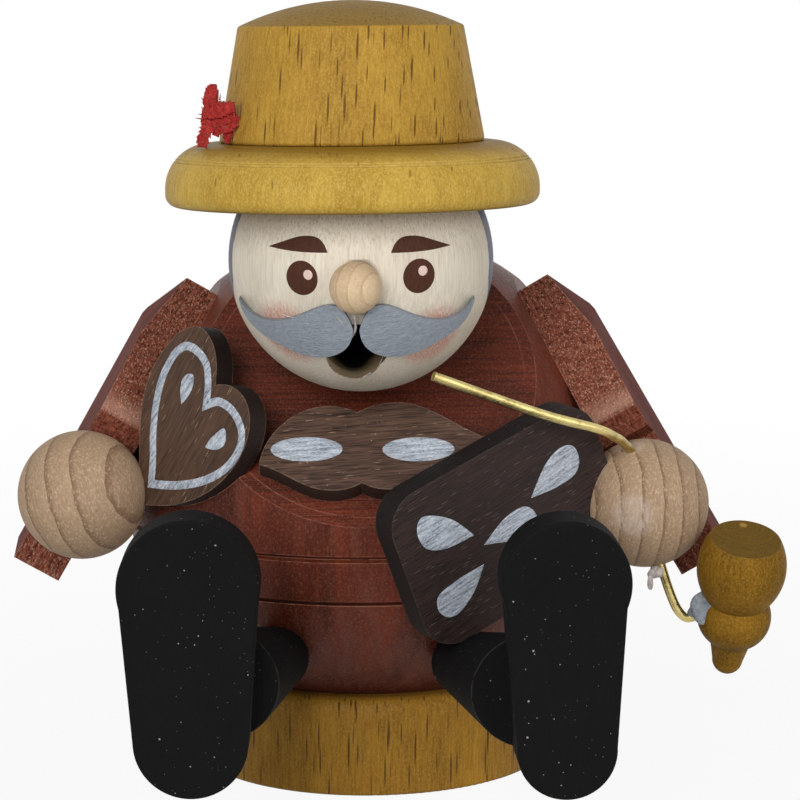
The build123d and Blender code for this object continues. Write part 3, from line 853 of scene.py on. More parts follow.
@dataclass(frozen=True, kw_only=True)
class BlackStain(Finish):
    """Matte black stain with dust specks and a faintly rubbed edge."""

    black: Colour = shade(10, 10, 10)
    soft: Colour = shade(18, 18, 18)
    dust: Colour = shade(150, 154, 156)
    rub: Colour = shade(92, 96, 96)
    polish: Flat = (-0.06, 0.06)
    fine: Streaks = Streaks((2.4, 2.4, 0.5), 4.0, 0.3)
    cloud: Streaks = Streaks((0.12, 0.12, 0.09), 3.0, 0.4)
    specks: tuple[Marks, ...] = (Marks((2.5, 2.5, 2.5), 0.07, 0.7, 1.0, "specks"),
                                 Marks((1.1, 1.1, 1.1), 0.1, 0.55, 0.85, "specks"),
                                 Marks((0.75, 0.75, 0.75), 0.11, 0.6, 0.45, "specks"))

    def paint(self, tree: Tree) -> tuple[Value, Value, Value]:
        """Stain, rubbed edge, and specks of dust."""
        place = tree.place()
        tone = self.tones(tree, place, "fine cloud")
        colour = self.rubbed(tree, place, tree.mix(self.blend(tone, "fine cloud"), self.black, self.soft))
        for marks in self.specks:
            colour = tree.mix(marks.mask(tree, place) * marks.weight, colour, self.dust)
        return colour, tone.cloud, tone.fine


@dataclass(frozen=True, kw_only=True)
class Metal(Finish):
    """Drawn or stamped metal, a little tarnished."""

    bright: Colour = shade(206, 188, 126)
    dull: Colour = shade(132, 114, 66)
    metallic: float = 1.0
    grain: Spot
    polish: Flat = (-0.07, 0.12)
    depth: float = 0.012
    cloud: Streaks = Streaks((0.5, 0.5, 0.3), 4.0)
    lines: Streaks = Streaks((7.0, 7.0, 0.5), 3.0)
    tarnish: Flat = (0.35, 1.2)

    def paint(self, tree: Tree) -> tuple[Value, Value, Value]:
        """Tarnish and drawing lines."""
        tone = self.tones(tree, tree.board_place(self.grain, FRONT), "cloud lines")
        return tree.mix(tone.cloud.remap(*self.tarnish), self.bright, self.dull), tone.lines, tone.lines


@dataclass(frozen=True, kw_only=True)
class PressedPowder(Finish):
    """Pressed incense powder."""

    light: Colour = shade(132, 74, 58)
    dark: Colour = shade(84, 44, 36)
    polish: Flat = (0.0, -0.15)
    depth: float = 0.08
    crumbs: float = 1.4
    grains: Streaks = Streaks((4.0, 4.0, 4.0), 3.0)

    def paint(self, tree: Tree) -> tuple[Value, Value, Value]:
        """Coarse and fine grains."""
        place = tree.place()
        coarse = EFFECTS.use(tree, "crumbs", Place=place, Scale=self.crumbs)
        grains = self.grains.tone(tree, place)
        return tree.mix(grains, self.dark, self.light), coarse["Spark"], coarse["Height"] + grains


@dataclass(frozen=True, kw_only=True)
class DriedGlue(Finish):
    """Cloudy dried glue."""

    clear: Colour = shade(172, 180, 188)
    cloudy: Colour = shade(112, 122, 132)
    polish: Flat = (-0.1, 0.15)
    depth: float = 0.07
    cloud: Streaks = Streaks((0.9, 0.9, 0.9), 4.0)
    wrinkle: Streaks = Streaks((2.6, 2.6, 2.6), 3.0)

    def paint(self, tree: Tree) -> tuple[Value, Value, Value]:
        """Milky clouds and small wrinkles."""
        tone = self.tones(tree, tree.place(), "cloud wrinkle")
        return tree.mix(tone.cloud, self.clear, self.cloudy), tone.wrinkle, tone.wrinkle


def smooth_loop(places: tuple, steps: int, sharp: tuple[int, ...]) -> list[Vector]:
    """Closed outline through a few places.

    Args:
        places: the places.
        steps: points that each stretch gets.
        sharp: numbers of the places that stay corners.

    Returns:
        The outline's points, each place among them.
    """
    spots = [Vector(place) for place in places]
    count = len(spots)
    loop = []
    for number, start in enumerate(spots):
        following = (number + 1) % count
        end = spots[following]
        before = start if number in sharp else spots[number - 1]
        after = end if following in sharp else spots[(number + 2) % count]
        for step in range(steps):
            t = step / steps
            slope, bend = end - before, 2 * before - 5 * start + 4 * end - after
            twist = 3 * start - 3 * end + after - before
            loop.append(0.5 * (2 * start + slope * t + bend * t**2 + twist * t**3))
    return loop


def smooth_line(places: tuple, steps: int) -> list[Vector]:
    """Open line through a few places, with so many points to a stretch."""
    last = len(places) - 1
    return smooth_loop(places, steps, (0, last))[:last * steps + 1]


def ellipse_loop(centre: Flat, half: Flat, lean: float, steps: int) -> list[Vector]:
    """Outline of an ellipse.

    Args:
        centre: its centre.
        half: half its width and half its height.
        lean: degrees that it leans to the left.
        steps: points of the outline.

    Returns:
        The outline's points.
    """
    turn = Matrix.Rotation(math.radians(lean), 2)
    rims = [2 * math.pi * step / steps for step in range(steps)]
    return [Vector(centre) + turn @ Vector((half[0] * math.cos(t), half[1] * math.sin(t))) for t in rims]


def quads(rings: int, sides: int, closed: bool = False) -> Faces:
    """Faces between equal rings of points.

    Args:
        rings: how many rings there are.
        sides: points of each.
        closed: join the last ring to the first.

    Returns:
        The faces.
    """
    joins = [(ring * sides, (ring + 1) % rings * sides) for ring in range(rings if closed else rings - 1)]
    return [(here + n, here + (n + 1) % sides, there + (n + 1) % sides, there + n)
            for here, there in joins for n in range(sides)]


class Seat:
    """Surface on which flat ornaments lie, in millimetres."""

    def point(self, flat: Vector, rise: float) -> Vector:
        """Point of the shared frame over the surface.

        Args:
            flat: place on the surface.
            rise: height above it.

        Returns:
            The point.
        """
        raise NotImplementedError


@dataclass(frozen=True)
class PlaneSeat(Seat):
    """Flat seat tangent to the body's ball."""

    azimuth: float
    elevation: float
    distance: float

    def outward(self) -> Vector:
        """Direction that the seat faces."""
        return facing(self.azimuth, self.elevation)

    def direction(self, turn: float) -> Vector:
        """Direction in the seat.

        Args:
            turn: degrees from level.

        Returns:
            The direction.
        """
        side, tilt = math.radians(self.azimuth), math.radians(turn)
        level = Vector((math.cos(side), math.sin(side), 0.0))
        return level * math.cos(tilt) + self.outward().cross(level) * math.sin(tilt)

    def point(self, flat: Vector, rise: float) -> Vector:
        """Point over the seat."""
        foot = BALL_CENTRE + self.outward() * (self.distance + rise)
        return foot + self.direction(0.0) * flat.x + self.direction(90.0) * flat.y


@dataclass(frozen=True)
class BallSeat(Seat):
    """Front of a ball, seen along Y."""

    centre: Vector
    radius: float

    def point(self, flat: Vector, rise: float) -> Vector:
        """Point over the ball, at the given distance right of and above its centre."""
        reach = self.radius + rise
        return self.centre + Vector((flat.x, -math.sqrt(reach**2 - flat.x**2 - flat.y**2), flat.y))


@dataclass
class Piece:
    """A mesh piece: what it belongs to, its points in millimetres and its faces."""

    name: str
    slot: str
    material: bpy.types.Material
    replaces: tuple[str, ...] = ()
    body: Body = Body.FIGURE
    points: list[Vector] = field(default_factory=list)
    faces: Faces = field(default_factory=list)
    weld: float = 0.002
    sharp_angle: float = 50.0
    least_miter: float = 0.3
    longest_miter: float = 2.6
    blob_waves: int = 6
    off_axis: Spot = (0.31, 0.95, 0.05)

    def grow(self, points: list[Vector], faces: Faces) -> None:
        """Add to the mesh.

        Args:
            points: the points to add.
            faces: the faces that join them, by their numbers among these points.
        """
        first = len(self.points)
        self.points += points
        self.faces += [tuple(first + index for index in face) for face in faces]

    def place(self) -> None:
        """Make the object, dress it and let it ride on its body."""
        mesh = bpy.data.meshes.new(self.name)
        mesh.from_pydata([tuple(point * MM) for point in self.points], [], self.faces)
        work = bmesh.new()
        work.from_mesh(mesh)
        bmesh.ops.remove_doubles(work, verts=work.verts, dist=self.weld * MM)
        bmesh.ops.recalc_face_normals(work, faces=work.faces)
        work.to_mesh(mesh)
        work.free()
        mesh.polygons.foreach_set("use_smooth", [True] * len(mesh.polygons))
        mesh.set_sharp_from_angle(angle=math.radians(self.sharp_angle))
        mesh.materials.append(self.material)
        piece = bpy.data.objects.new(self.name, mesh)
        bpy.context.scene.collection.objects.link(piece)
        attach(piece, self.body.value)
        if self.replaces:
            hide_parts(*self.replaces)
        log.info("piece %s rides on %s", self.name, self.body.value)

    def raise_patch(self, seat: Seat, loop: list[Vector], thickness: float) -> None:
        """Thin raised patch with a rounded rim over a convex outline.

        Args:
            seat: surface that it lies on.
            loop: its outline.
            thickness: height of its top.
        """
        count = len(loop)
        middle = sum(loop, Vector((0.0, 0.0))) / count
        profile = [(1.0, -SINK)] + [(share, rise * thickness) for share, rise in PATCH]
        points = [seat.point(middle + (spot - middle) * share, rise)
                  for share, rise in profile for spot in loop]
        top, last = len(points), len(points) - count
        faces = quads(len(profile), count)
        faces += [(last + number, last + (number + 1) % count, top) for number in range(count)]
        self.grow(points + [seat.point(middle, thickness)], faces + [tuple(reversed(range(count)))])

    def raise_band(self, seat: Seat, loop: list[Vector], width: float, thickness: float) -> None:
        """Thin raised band along a closed line.

        Args:
            seat: surface that it lies on.
            loop: the line.
            width: width of the band.
            thickness: height of its top.
        """
        profile = [(share, rise * thickness) for share, rise in BAND]
        profile = [(BAND[0][0], -SINK), *profile, (BAND[-1][0], -SINK)]
        points = []
        for number, spot in enumerate(loop):
            following = loop[(number + 1) % len(loop)]
            ways = ((spot - loop[number - 1]).normalized(), (following - spot).normalized())
            sides = [Vector((-way.y, way.x)) for way in ways]
            miter = (sides[0] + sides[1]).normalized()
            reach = min(1 / max(miter.dot(sides[0]), self.least_miter), self.longest_miter)
            points += [seat.point(spot + miter * width * share * reach, rise) for share, rise in profile]
        self.grow(points, quads(len(loop), len(profile), closed=True))

    def grow_blob(self, centre: Vector, half: Spot, seed: int, bumps: float, rows: int = 12) -> None:
        """Uneven lump.

        Args:
            centre: its centre.
            half: its half sizes along X, Y and Z.
            seed: seed of its bumps.
            bumps: depth of its bumps as a share of its size.
            rows: rows of faces.
        """
        draw = random.Random(seed)
        waves = [(Vector([draw.uniform(-1, 1) for _ in range(3)]).normalized(),
                  draw.uniform(1.5, 4.5), draw.uniform(0, 6.28)) for _ in range(self.blob_waves)]
        across = rows * 2
        ways = [facing(180.0 * number / rows, 90.0 - 180.0 * row / rows)
                for row in range(1, rows) for number in range(across)]
        points = []
        for way in (*ways, UP, -UP):
            heights = [math.sin(way.dot(axis) * speed + start) for axis, speed, start in waves]
            points.append(centre + way * Vector(half) * (1 + bumps * sum(heights) / 2))
        top, last = len(ways), len(ways) - across
        faces = quads(rows - 1, across) + [(n, top, (n + 1) % across) for n in range(across)]
        self.grow(points, faces + [(last + (n + 1) % across, top + 1, last + n) for n in range(across)])

    def grow_strand(self, line: list[Vector], radii: list[float], sides: int) -> None:
        """Round strand.

        Args:
            line: points along its middle.
            radii: radius at each point.
            sides: sides of its section.
        """
        turns = [2 * math.pi * side / sides for side in range(sides)]
        rings = []
        for number, spot in enumerate(line):
            ahead = (line[min(number + 1, len(line) - 1)] - line[max(number - 1, 0)]).normalized()
            first = ahead.cross(Vector(self.off_axis)).normalized()
            second = ahead.cross(first)
            rings.append([spot + (first * math.cos(turn) + second * math.sin(turn)) * radii[number]
                          for turn in turns])
        self.grow_rings(rings)

    def grow_rings(self, rings: list[list[Vector]]) -> None:
        """Closed skin.

        Args:
            rings: equal rings of points, from one end to the other.
        """
        sides, last = len(rings[0]), (len(rings) - 1) * len(rings[0])
        caps = [tuple(reversed(range(sides))), tuple(range(last, last + sides))]
        self.grow([point for ring in rings for point in ring], quads(len(rings), sides) + caps)


def dress(finish: Finish, *nodes: str) -> None:
    """Give carried-over nodes a material.

    Args:
        finish: finish of the material.
        *nodes: names of the nodes.
    """
    material = finish.material()
    for name in nodes:
        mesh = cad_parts[name].data
        mesh.materials.clear()
        mesh.materials.append(material)
        mesh.polygons.foreach_set("material_index", [0] * len(mesh.polygons))
        log.info("dressed %s with %s", name, material.name)


@dataclass(frozen=True)
class Stand:
    """Base disc, lower half of the ball, legs and shoes, and the incense plate inside."""

    base: TurnedBeech = TurnedBeech(
        "base_stain", 0.5, specular=0.2, light=shade(178, 130, 36), dark=shade(118, 80, 18),
        ray=shade(62, 36, 12), rub=shade(190, 148, 70), end=shade(130, 92, 30), end_dark=shade(92, 62, 18),
        flecks=Marks((0.48, 1.8, 10.0), 0.36, 0.8))
    black: BlackStain = BlackStain("black_stain", 0.75, specular=0.1)
    tin: Metal = Metal("plate_tin", 0.35, bright=shade(200, 200, 196), dull=shade(140, 138, 132),
                       grain=(1.0, 0.0, 0.2))

    def build(self) -> None:
        """Dress every piece of the stand."""
        dress(self.base, "base_disc")
        dress(self.black, "right_leg", "left_leg", "right_shoe", "left_shoe")
        dress(BareBeech("stand_dowels", 0.6), "base_dowels", "leg_dowels")
        dress(self.tin, "incense_plate")
        dress(PressedPowder("incense_powder", 0.9), "incense_cone")


@dataclass(frozen=True)
class Torso:
    """Ball body, arms and hands."""

    chest_angle: float = 40.0
    chest_distance: float = 26.4
    arm_azimuth: float = 86.0
    arm_lift: float = 30.5
    right_hand: Vector = field(default_factory=lambda: Vector((-39.0, -22.8, 42.3)))
    left_hand: Vector = field(default_factory=lambda: Vector((37.5, -22.9, 40.5)))
    right_pith: Vector = field(default_factory=lambda: Vector((70.0, -30.0, 0.0)))
    left_pith: Vector = field(default_factory=lambda: Vector((80.0, 8.0, 0.0)))
    smears: tuple = (((35.4, -31.3, 40.4), 3.4), ((35.8, -25.2, 48.7), 2.2), ((31.0, -27.5, 46.5), 1.6))

    def build(self) -> None:
        """Dress the body, the arms and the hands."""
        chest = facing(0.0, self.chest_angle)
        flat_centre = BALL_CENTRE + chest * self.chest_distance
        stain = BodyStain("body_stain", 0.4, specular=0.18, sheen=0.04, sheen_tint=shade(200, 180, 176),
                          flat_centre=tuple(flat_centre), flat_facing=tuple(chest))
        dress(stain, "upper_body", "lower_body")
        for side in Side:
            name, azimuth = f"{side.name.lower()}_arm", side.value * self.arm_azimuth
            outward, grain = (tuple(facing(azimuth, lift)) for lift in (self.arm_lift, self.arm_lift - 90.0))
            dress(ArmStain(f"{name}_stain", 0.42, specular=0.001, outward=outward, grain=grain), name)
        wood = BareBeech("right_hand_wood", 0.62, specular=0.25, grain=(-0.26, 0.1, 1.0), spacing=3.7,
                         wobble=1.6, pith=tuple(self.right_hand + self.right_pith))
        dress(wood, "right_hand")
        dress(replace(wood, name="left_hand_wood", grain=(0.0, 0.1, 1.0), spacing=2.75, wobble=1.0,
                      pith=tuple(self.left_hand + self.left_pith), smears=self.smears), "left_hand")
        dress(BareBeech("figure_dowels", 0.6), "arm_dowels", "neck_tube", "hat_dowel")


@dataclass(frozen=True)
class Head:
    """Head ball with its painted face, nose and moustache."""

    centre: Vector = field(default_factory=lambda: Vector((-0.6, -27.7, 74.9)))
    radius: float = 17.6
    nose_pith: Vector = field(default_factory=lambda: Vector((-40.0, 6.0, 0.0)))
    cheeks: tuple[Spot, ...] = ((-9.66, -12.2, -8.2), (9.23, -12.1, -8.8))
    eyes: tuple[Flat, ...] = ((-7.39, -0.33), (7.59, -0.23))
    eye_half: Flat = (2.02, 2.24)
    eye_lean: float = 10.0
    glints: tuple[Flat, ...] = ((-6.62, 0.12), (8.1, 0.42))
    glint_half: Flat = (0.6, 0.66)
    brow: tuple[Flat, ...] = ((4.04, 2.9), (4.5, 3.95), (5.25, 4.7), (6.35, 4.95), (7.9, 4.78), (9.8, 4.1),
                              (11.77, 3.32), (9.5, 3.02), (6.9, 2.88))
    brow_corners: tuple[int, ...] = (0, 6)
    brow_lift: float = 0.1
    paint_thickness: float = 0.05
    bead_taper: float = 0.3
    glue_lines: tuple = (
        ("lobe_edge", 19.15, 0.17, ((-4.41, -3.4), (-3.27, -4.57), (-2.02, -6.18), (-1.15, -7.84))),
        ("seam", 18.5, 0.2, ((-0.72, -4.96), (-0.62, -6.73), (-1.16, -8.12))),
        ("mouth_crumb", 17.5, 0.26, ((0.07, -14.17), (0.73, -13.84), (1.26, -13.36))),
        ("mouth_rim", 17.5, 0.1, ((-4.66, -10.94), (-4.06, -12.78), (-2.16, -14.36), (-0.2, -14.51),
                                  (1.78, -13.38), (2.86, -10.94))),
        ("brim_smear", 17.5, 0.14, ((-7.58, 7.19), (-6.29, 7.12), (-5.25, 6.79), (-6.55, 6.25))),
        ("lobe_top", 18.9, 0.09, ((-10.57, -4.97), (-9.01, -5.38), (-7.45, -5.41), (-5.88, -4.79))))

    def build(self) -> None:
        """Dress the head and lay the face's paint and glue on it."""
        dress(FacePaint("face_paint", 0.48, specular=0.3, centre=tuple(self.centre), radius=self.radius,
                        cheeks=self.cheeks), "head")
        dress(BareBeech("nose_wood", 0.5, specular=0.35, light=shade(222, 196, 160),
                        dark=shade(200, 168, 130), line=shade(176, 140, 104), spacing=1.6, wobble=1.0,
                        line_weight=0.35, pith=tuple(self.centre + self.nose_pith)), "nose")
        dress(PrintedPaint("moustache_paint", 0.62, paint_colour=shade(156, 164, 174),
                           through=shade(104, 110, 118), grain=(1.0, 0.0, 0.1), amount=0.6, depth=0.05,
                           fine=Streaks((2.6, 2.6, 0.9), 4.0, 0.6)), "right_moustache", "left_moustache")
        self.features()
        self.glue()

    def features(self) -> None:
        """Eyes, their glints and brows, printed on the ball."""
        seat = BallSeat(self.centre, self.radius)
        brown = PrintedPaint("face_print", 0.55, specular=0.2, amount=0.75).material()
        pale = PrintedPaint("eye_glint_print", 0.5, paint_colour=shade(236, 210, 200),
                            through=shade(214, 180, 168)).material()
        for side, eye, glint in zip(Side, self.eyes, self.glints):
            lean = -side.value * self.eye_lean
            lift = self.brow_lift if side is Side.RIGHT else 0.0
            brow = [(side.value * across, up + lift) for across, up in self.brow]
            shapes = (("eye", brown, ellipse_loop(eye, self.eye_half, lean, 36), 1),
                      ("eye_glint", pale, ellipse_loop(glint, self.glint_half, lean, 24), 2),
                      ("brow", brown, smooth_loop(brow, 5, self.brow_corners), 1))
            for kind, paint, loop, coats in shapes:
                piece = Piece(f"{side.name.lower()}_{kind}", "face_cream", paint)
                piece.raise_patch(seat, loop, self.paint_thickness * coats)
                piece.place()

    def glue(self) -> None:
        """Beads of glue about the moustache, the mouth and the brim, each on a shell round the head."""
        glue = DriedGlue("face_glue", 0.4, clear=shade(214, 208, 200), cloudy=shade(160, 154, 146)).material()
        for word, shell, size, places in self.glue_lines:
            bead = Piece(f"glue_{word}", "face_cream", glue)
            line = [BallSeat(self.centre, shell).point(spot, 0.0) for spot in smooth_line(places, 4)]
            turns = [math.pi * number / (len(line) - 1) for number in range(len(line))]
            swell = 1.0 - self.bead_taper
            bead.grow_strand(line, [size * (self.bead_taper + swell * math.sin(turn)) for turn in turns], 7)
            bead.place()


@dataclass(frozen=True)
class Hat:
    """Brim, crown and the red tuft tucked beside the crown."""

    axis: Spot = (-1.6, -27.5, 0.0)
    tuft_root: Vector = field(default_factory=lambda: Vector((-17.6, -36.4, 95.0)))
    seed: int = 7
    serrations: int = 4
    notch: float = 0.82
    notch_lean: float = 0.5
    width_draw: Flat = (0.85, 1.15)
    wrinkle: float = 0.2
    felt: float = 0.24
    stations: tuple = (-1.0, -0.4, 0.4, 1.0)
    barb_radii: tuple = (0.13, 0.0325)
    strips: tuple = (
        (((-1.9, 0.17, 1.07), (-2.22, 1.58, 0.96), (-2.06, 2.69, 0.89), (-1.83, 3.46, 0.6),
          (-1.79, 3.93, 0.25)), 0.0),
        (((-1.46, 1.01, 0.5), (-1.43, 2.55, 0.43), (-1.39, 3.91, 0.16)), 0.12),
        (((-3.31, -0.23, 1.07), (-2.19, -0.45, 1.64), (-0.93, -0.47, 1.92), (0.2, -0.13, 1.67),
          (1.11, 0.28, 1.21)), 0.35),
        (((-3.1, -0.23, 0.5), (-2.6, 0.18, 1.07), (-1.47, 0.59, 1.21), (-0.07, 0.72, 0.78),
          (1.09, 0.91, 0.5)), -0.2),
        (((-1.08, -0.81, 0.85), (-0.11, -1.59, 1.07), (0.74, -0.83, 1.21)), 0.05),
        (((-2.13, -0.8, 1.07), (-2.64, -2.06, 0.89), (-3.15, -3.04, 0.89), (-3.25, -4.23, 0.68)), -0.1),
        (((0.18, -1.18, 0.92), (0.01, -2.58, 0.78), (-0.09, -3.84, 0.28)), 0.75),
        (((-1.51, -1.16, 0.85), (-1.24, -2.07, 0.71), (-1.54, -2.81, 0.43)), 0.2))
    barbs: tuple = (
        ((-3.1, -0.58), (-4.08, -0.43)), ((-2.95, -0.1), (-3.69, 0.12)), ((-2.94, 0.6), (-3.28, 1.03)),
        ((-2.85, 1.58), (-3.26, 2.25)), ((-2.55, 2.7), (-2.64, 3.47)), ((-1.17, 1.84), (-1.0, 3.24)),
        ((-0.89, 1.84), (-0.77, 2.68)), ((-2.84, -1.43), (-3.72, -1.7)), ((-3.05, -1.21), (-3.4, -1.39)),
        ((-3.35, -2.4), (-3.96, -2.82)), ((-3.65, -3.24), (-4.03, -2.89)), ((-3.52, -3.94), (-3.91, -4.19)),
        ((-2.9, -4.16), (-2.69, -4.41)), ((0.9, 0.15), (1.16, -0.84)), ((0.58, 1.55), (1.21, 1.51)))

    def build(self) -> None:
        """Dress the turned pieces and make the tuft."""
        dress(TurnedBeech("brim_stain", 0.46, specular=0.14, light=shade(212, 176, 76),
                          dark=shade(168, 130, 42), ray=shade(104, 72, 28), rub=shade(226, 196, 112),
                          end=shade(142, 106, 24), end_dark=shade(98, 68, 12), axis=self.axis,
                          flecks=Marks((0.9, 2.4, 7.0), 0.22, 0.45, 0.6)), "hat_brim")
        dress(TurnedBeech("crown_stain", 0.5, specular=0.12, light=shade(196, 154, 61),
                          dark=shade(148, 108, 35), ray=shade(92, 58, 22), rub=shade(210, 172, 82),
                          end=shade(150, 118, 38), end_dark=shade(104, 77, 20), grain=(0.05, 0.05, 1.0),
                          axis=self.axis, flecks=Marks((0.48, 1.5, 12.0), 0.38, 0.72)), "hat_crown")
        fibre = PrintedPaint("tuft_fibre", 0.7, specular=0.2, sheen=0.25, paint_colour=shade(196, 62, 54),
                             through=shade(140, 24, 24), fine=Streaks((1.6, 1.6, 1.6), 4.0, 0.6), amount=1.0,
                             depth=0.08)
        tuft = Piece("plume_tuft", "plume_red", fibre.material(), replaces=("hat_plume",))
        draw = random.Random(self.seed)
        for spine, depth in self.strips:
            tuft.grow_rings(self.strip(draw, spine, depth))
        for barb in self.barbs:
            line = [self.tuft_root + Vector((across, draw.uniform(-self.wrinkle, self.wrinkle), up))
                    for across, up in barb]
            tuft.grow_strand(line, self.barb_radii, 5)
        tuft.place()

    def strip(self, draw: random.Random, spine: tuple, depth: float) -> list[list[Vector]]:
        """One torn strip of the tuft, wrinkled and with serrated sides.

        Args:
            draw: seeded draws.
            spine: right, up and half width of each point of its middle line, from the root.
            depth: how far behind the root it lies.

        Returns:
            Rings of points along it.
        """
        rings = []
        for number in range((len(spine) - 1) * self.serrations + 1):
            first = min(number // self.serrations, len(spine) - 2)
            here, there = Vector(spine[first]), Vector(spine[first + 1])
            across, up, half = here.lerp(there, number / self.serrations - first)
            way = Vector((there.x - here.x, 0.0, there.y - here.y)).normalized()
            side = Vector((way.z, 0.0, -way.x))
            tooth = number % 2 == 1
            half *= (1.0 if tooth else self.notch) * draw.uniform(*self.width_draw)
            lean = way * (half * self.notch_lean if tooth else 0.0)
            front = []
            for share in self.stations:
                wrinkle = depth + draw.uniform(-self.wrinkle, self.wrinkle)
                front.append(self.tuft_root + Vector((across, wrinkle, up)) + side * half * share
                             + lean * abs(share))
            rings.append(front + [spot + BACK * self.felt for spot in reversed(front)])
        return rings


@dataclass(frozen=True)
class Board:
    """A gingerbread board: its node and slot, its seat, its grain's degrees, its stain and its icing."""

    node: str
    word: str
    slot: str
    seat: PlaneSeat
    turn: float
    icing_turn: float
    stain: Gingerbread
    drops: tuple = ()
    ovals: tuple = ()
    band: tuple = ()


@dataclass(frozen=True)
class GingerbreadTray:
    """Heart, slab and bow with their painted icing."""

    icing_thickness: float = 0.1
    band_width: float = 1.15
    band_corners: tuple[int, ...] = (0, 12)
    oval_half: Flat = (4.8, 1.85)
    boards: tuple[Board, ...] = (
        Board("gingerbread_heart", "heart", "gingerbread_brown", PlaneSeat(-38.0, 10.0, 37.4), 62.0, 55.0,
              Gingerbread("heart_stain", 0.6, specular=0.25,
                          specks=Marks((0.9, 0.9, 0.9), 0.11, 0.15, 0.8, "specks")),
              drops=(("drop_upper", ((-4.12, 8.2), (-4.53, 9.93), (-4.38, 11.5), (-3.46, 12.41),
                                     (-2.41, 12.2), (-2.44, 10.64), (-3.17, 9.2))),
                     ("drop_lower", ((0.77, 2.92), (1.77, 4.36), (3.73, 5.77), (4.26, 4.63), (4.02, 3.49),
                                     (2.87, 2.8), (1.52, 2.76)))),
              band=((-8.16, -2.99), (-8.26, 0.18), (-8.66, 3.62), (-8.68, 7.09), (-8.27, 10.26),
                    (-7.33, 12.95), (-5.88, 15.16), (-3.94, 16.14), (-1.78, 15.35), (-0.35, 13.93),
                    (0.14, 12.26), (0.33, 10.74), (0.27, 8.53), (2.28, 9.21), (4.15, 8.71), (5.62, 7.67),
                    (6.65, 6.24), (7.0, 4.91), (6.79, 3.36), (5.82, 1.64), (4.32, 0.19), (2.44, -0.96),
                    (0.28, -1.84), (-2.38, -2.5), (-5.09, -2.87))),
        Board("gingerbread_slab", "slab", "gingerbread_dark", PlaneSeat(29.5, -2.0, 38.4), 24.0, 24.0,
              Gingerbread("slab_stain", 0.6, specular=0.25, light=shade(60, 43, 39), dark=shade(14, 8, 7),
                          wall=shade(22, 15, 13), rub=shade(100, 84, 78),
                          fibres=Marks((0.34, 0.34, 2.6), 0.3, 0.5, 0.75)),
              drops=(("drop_upper", ((3.18, 3.93), (5.3, 8.22), (7.62, 10.3), (9.68, 10.37), (10.68, 8.34),
                                     (9.92, 6.36), (6.94, 4.89))),
                     ("drop_middle", ((-4.05, -1.67), (-1.15, 1.41), (1.79, 2.86), (3.52, 2.25), (4.19, 0.53),
                                      (2.81, -1.79), (-0.79, -1.64))),
                     ("drop_side", ((-5.62, -0.12), (-8.56, 2.12), (-11.32, 3.11), (-13.74, 3.12),
                                    (-14.32, 1.17), (-13.09, -1.0), (-10.81, -1.55), (-8.52, -1.14))),
                     ("drop_lower", ((-4.01, -4.27), (-7.39, -5.63), (-10.59, -7.42), (-11.18, -8.84),
                                     (-10.55, -10.29), (-9.01, -10.9), (-7.33, -10.16), (-5.36, -7.67))))),
        Board("gingerbread_chest", "bow", "gingerbread_brown", PlaneSeat(0.0, 40.0, 29.4), 4.0, 4.0,
              Gingerbread("bow_stain", 0.6, specular=0.25, light=shade(114, 86, 70), dark=shade(40, 26, 20),
                          wall=shade(56, 38, 30), rub=shade(176, 148, 128),
                          fibres=Marks((0.34, 0.34, 2.6), 0.3, 0.45, 0.75)),
              ovals=(("right", (-8.13, -12.6)), ("left", (6.8, -12.77)))))

    def build(self) -> None:
        """Dress the three boards and lay the icing."""
        for board in self.boards:
            dress(replace(board.stain, grain=tuple(board.seat.direction(board.turn)),
                          outward=tuple(board.seat.outward())), board.node)
        for board in self.boards:
            self.ice(board)

    def ice(self, board: Board) -> None:
        """Lay a band, drops with the tip first, and flat ovals.

        Args:
            board: the board that gets them.
        """
        paint = PrintedPaint(
            f"{board.word}_icing_paint", 0.42, paint_colour=shade(224, 232, 242), through=shade(98, 106, 122),
            grain=tuple(board.seat.direction(board.icing_turn)), outward=tuple(board.seat.outward()),
            amount=1.0, fine=Streaks((3.0, 3.0, 0.36), 4.0, 0.6), depth=0.05).material()
        if board.band:
            band = Piece(f"{board.word}_icing_band", board.slot, paint)
            band.raise_band(board.seat, smooth_loop(board.band, 4, self.band_corners), self.band_width,
                            self.icing_thickness)
            band.place()
        loops = [(word, smooth_loop(places, 6, (0,))) for word, places in board.drops]
        loops += [(word, ellipse_loop(centre, self.oval_half, 0.0, 44)) for word, centre in board.ovals]
        for word, loop in loops:
            patch = Piece(f"{board.word}_icing_{word}", board.slot, paint)
            patch.raise_patch(board.seat, loop, self.icing_thickness)
            patch.place()


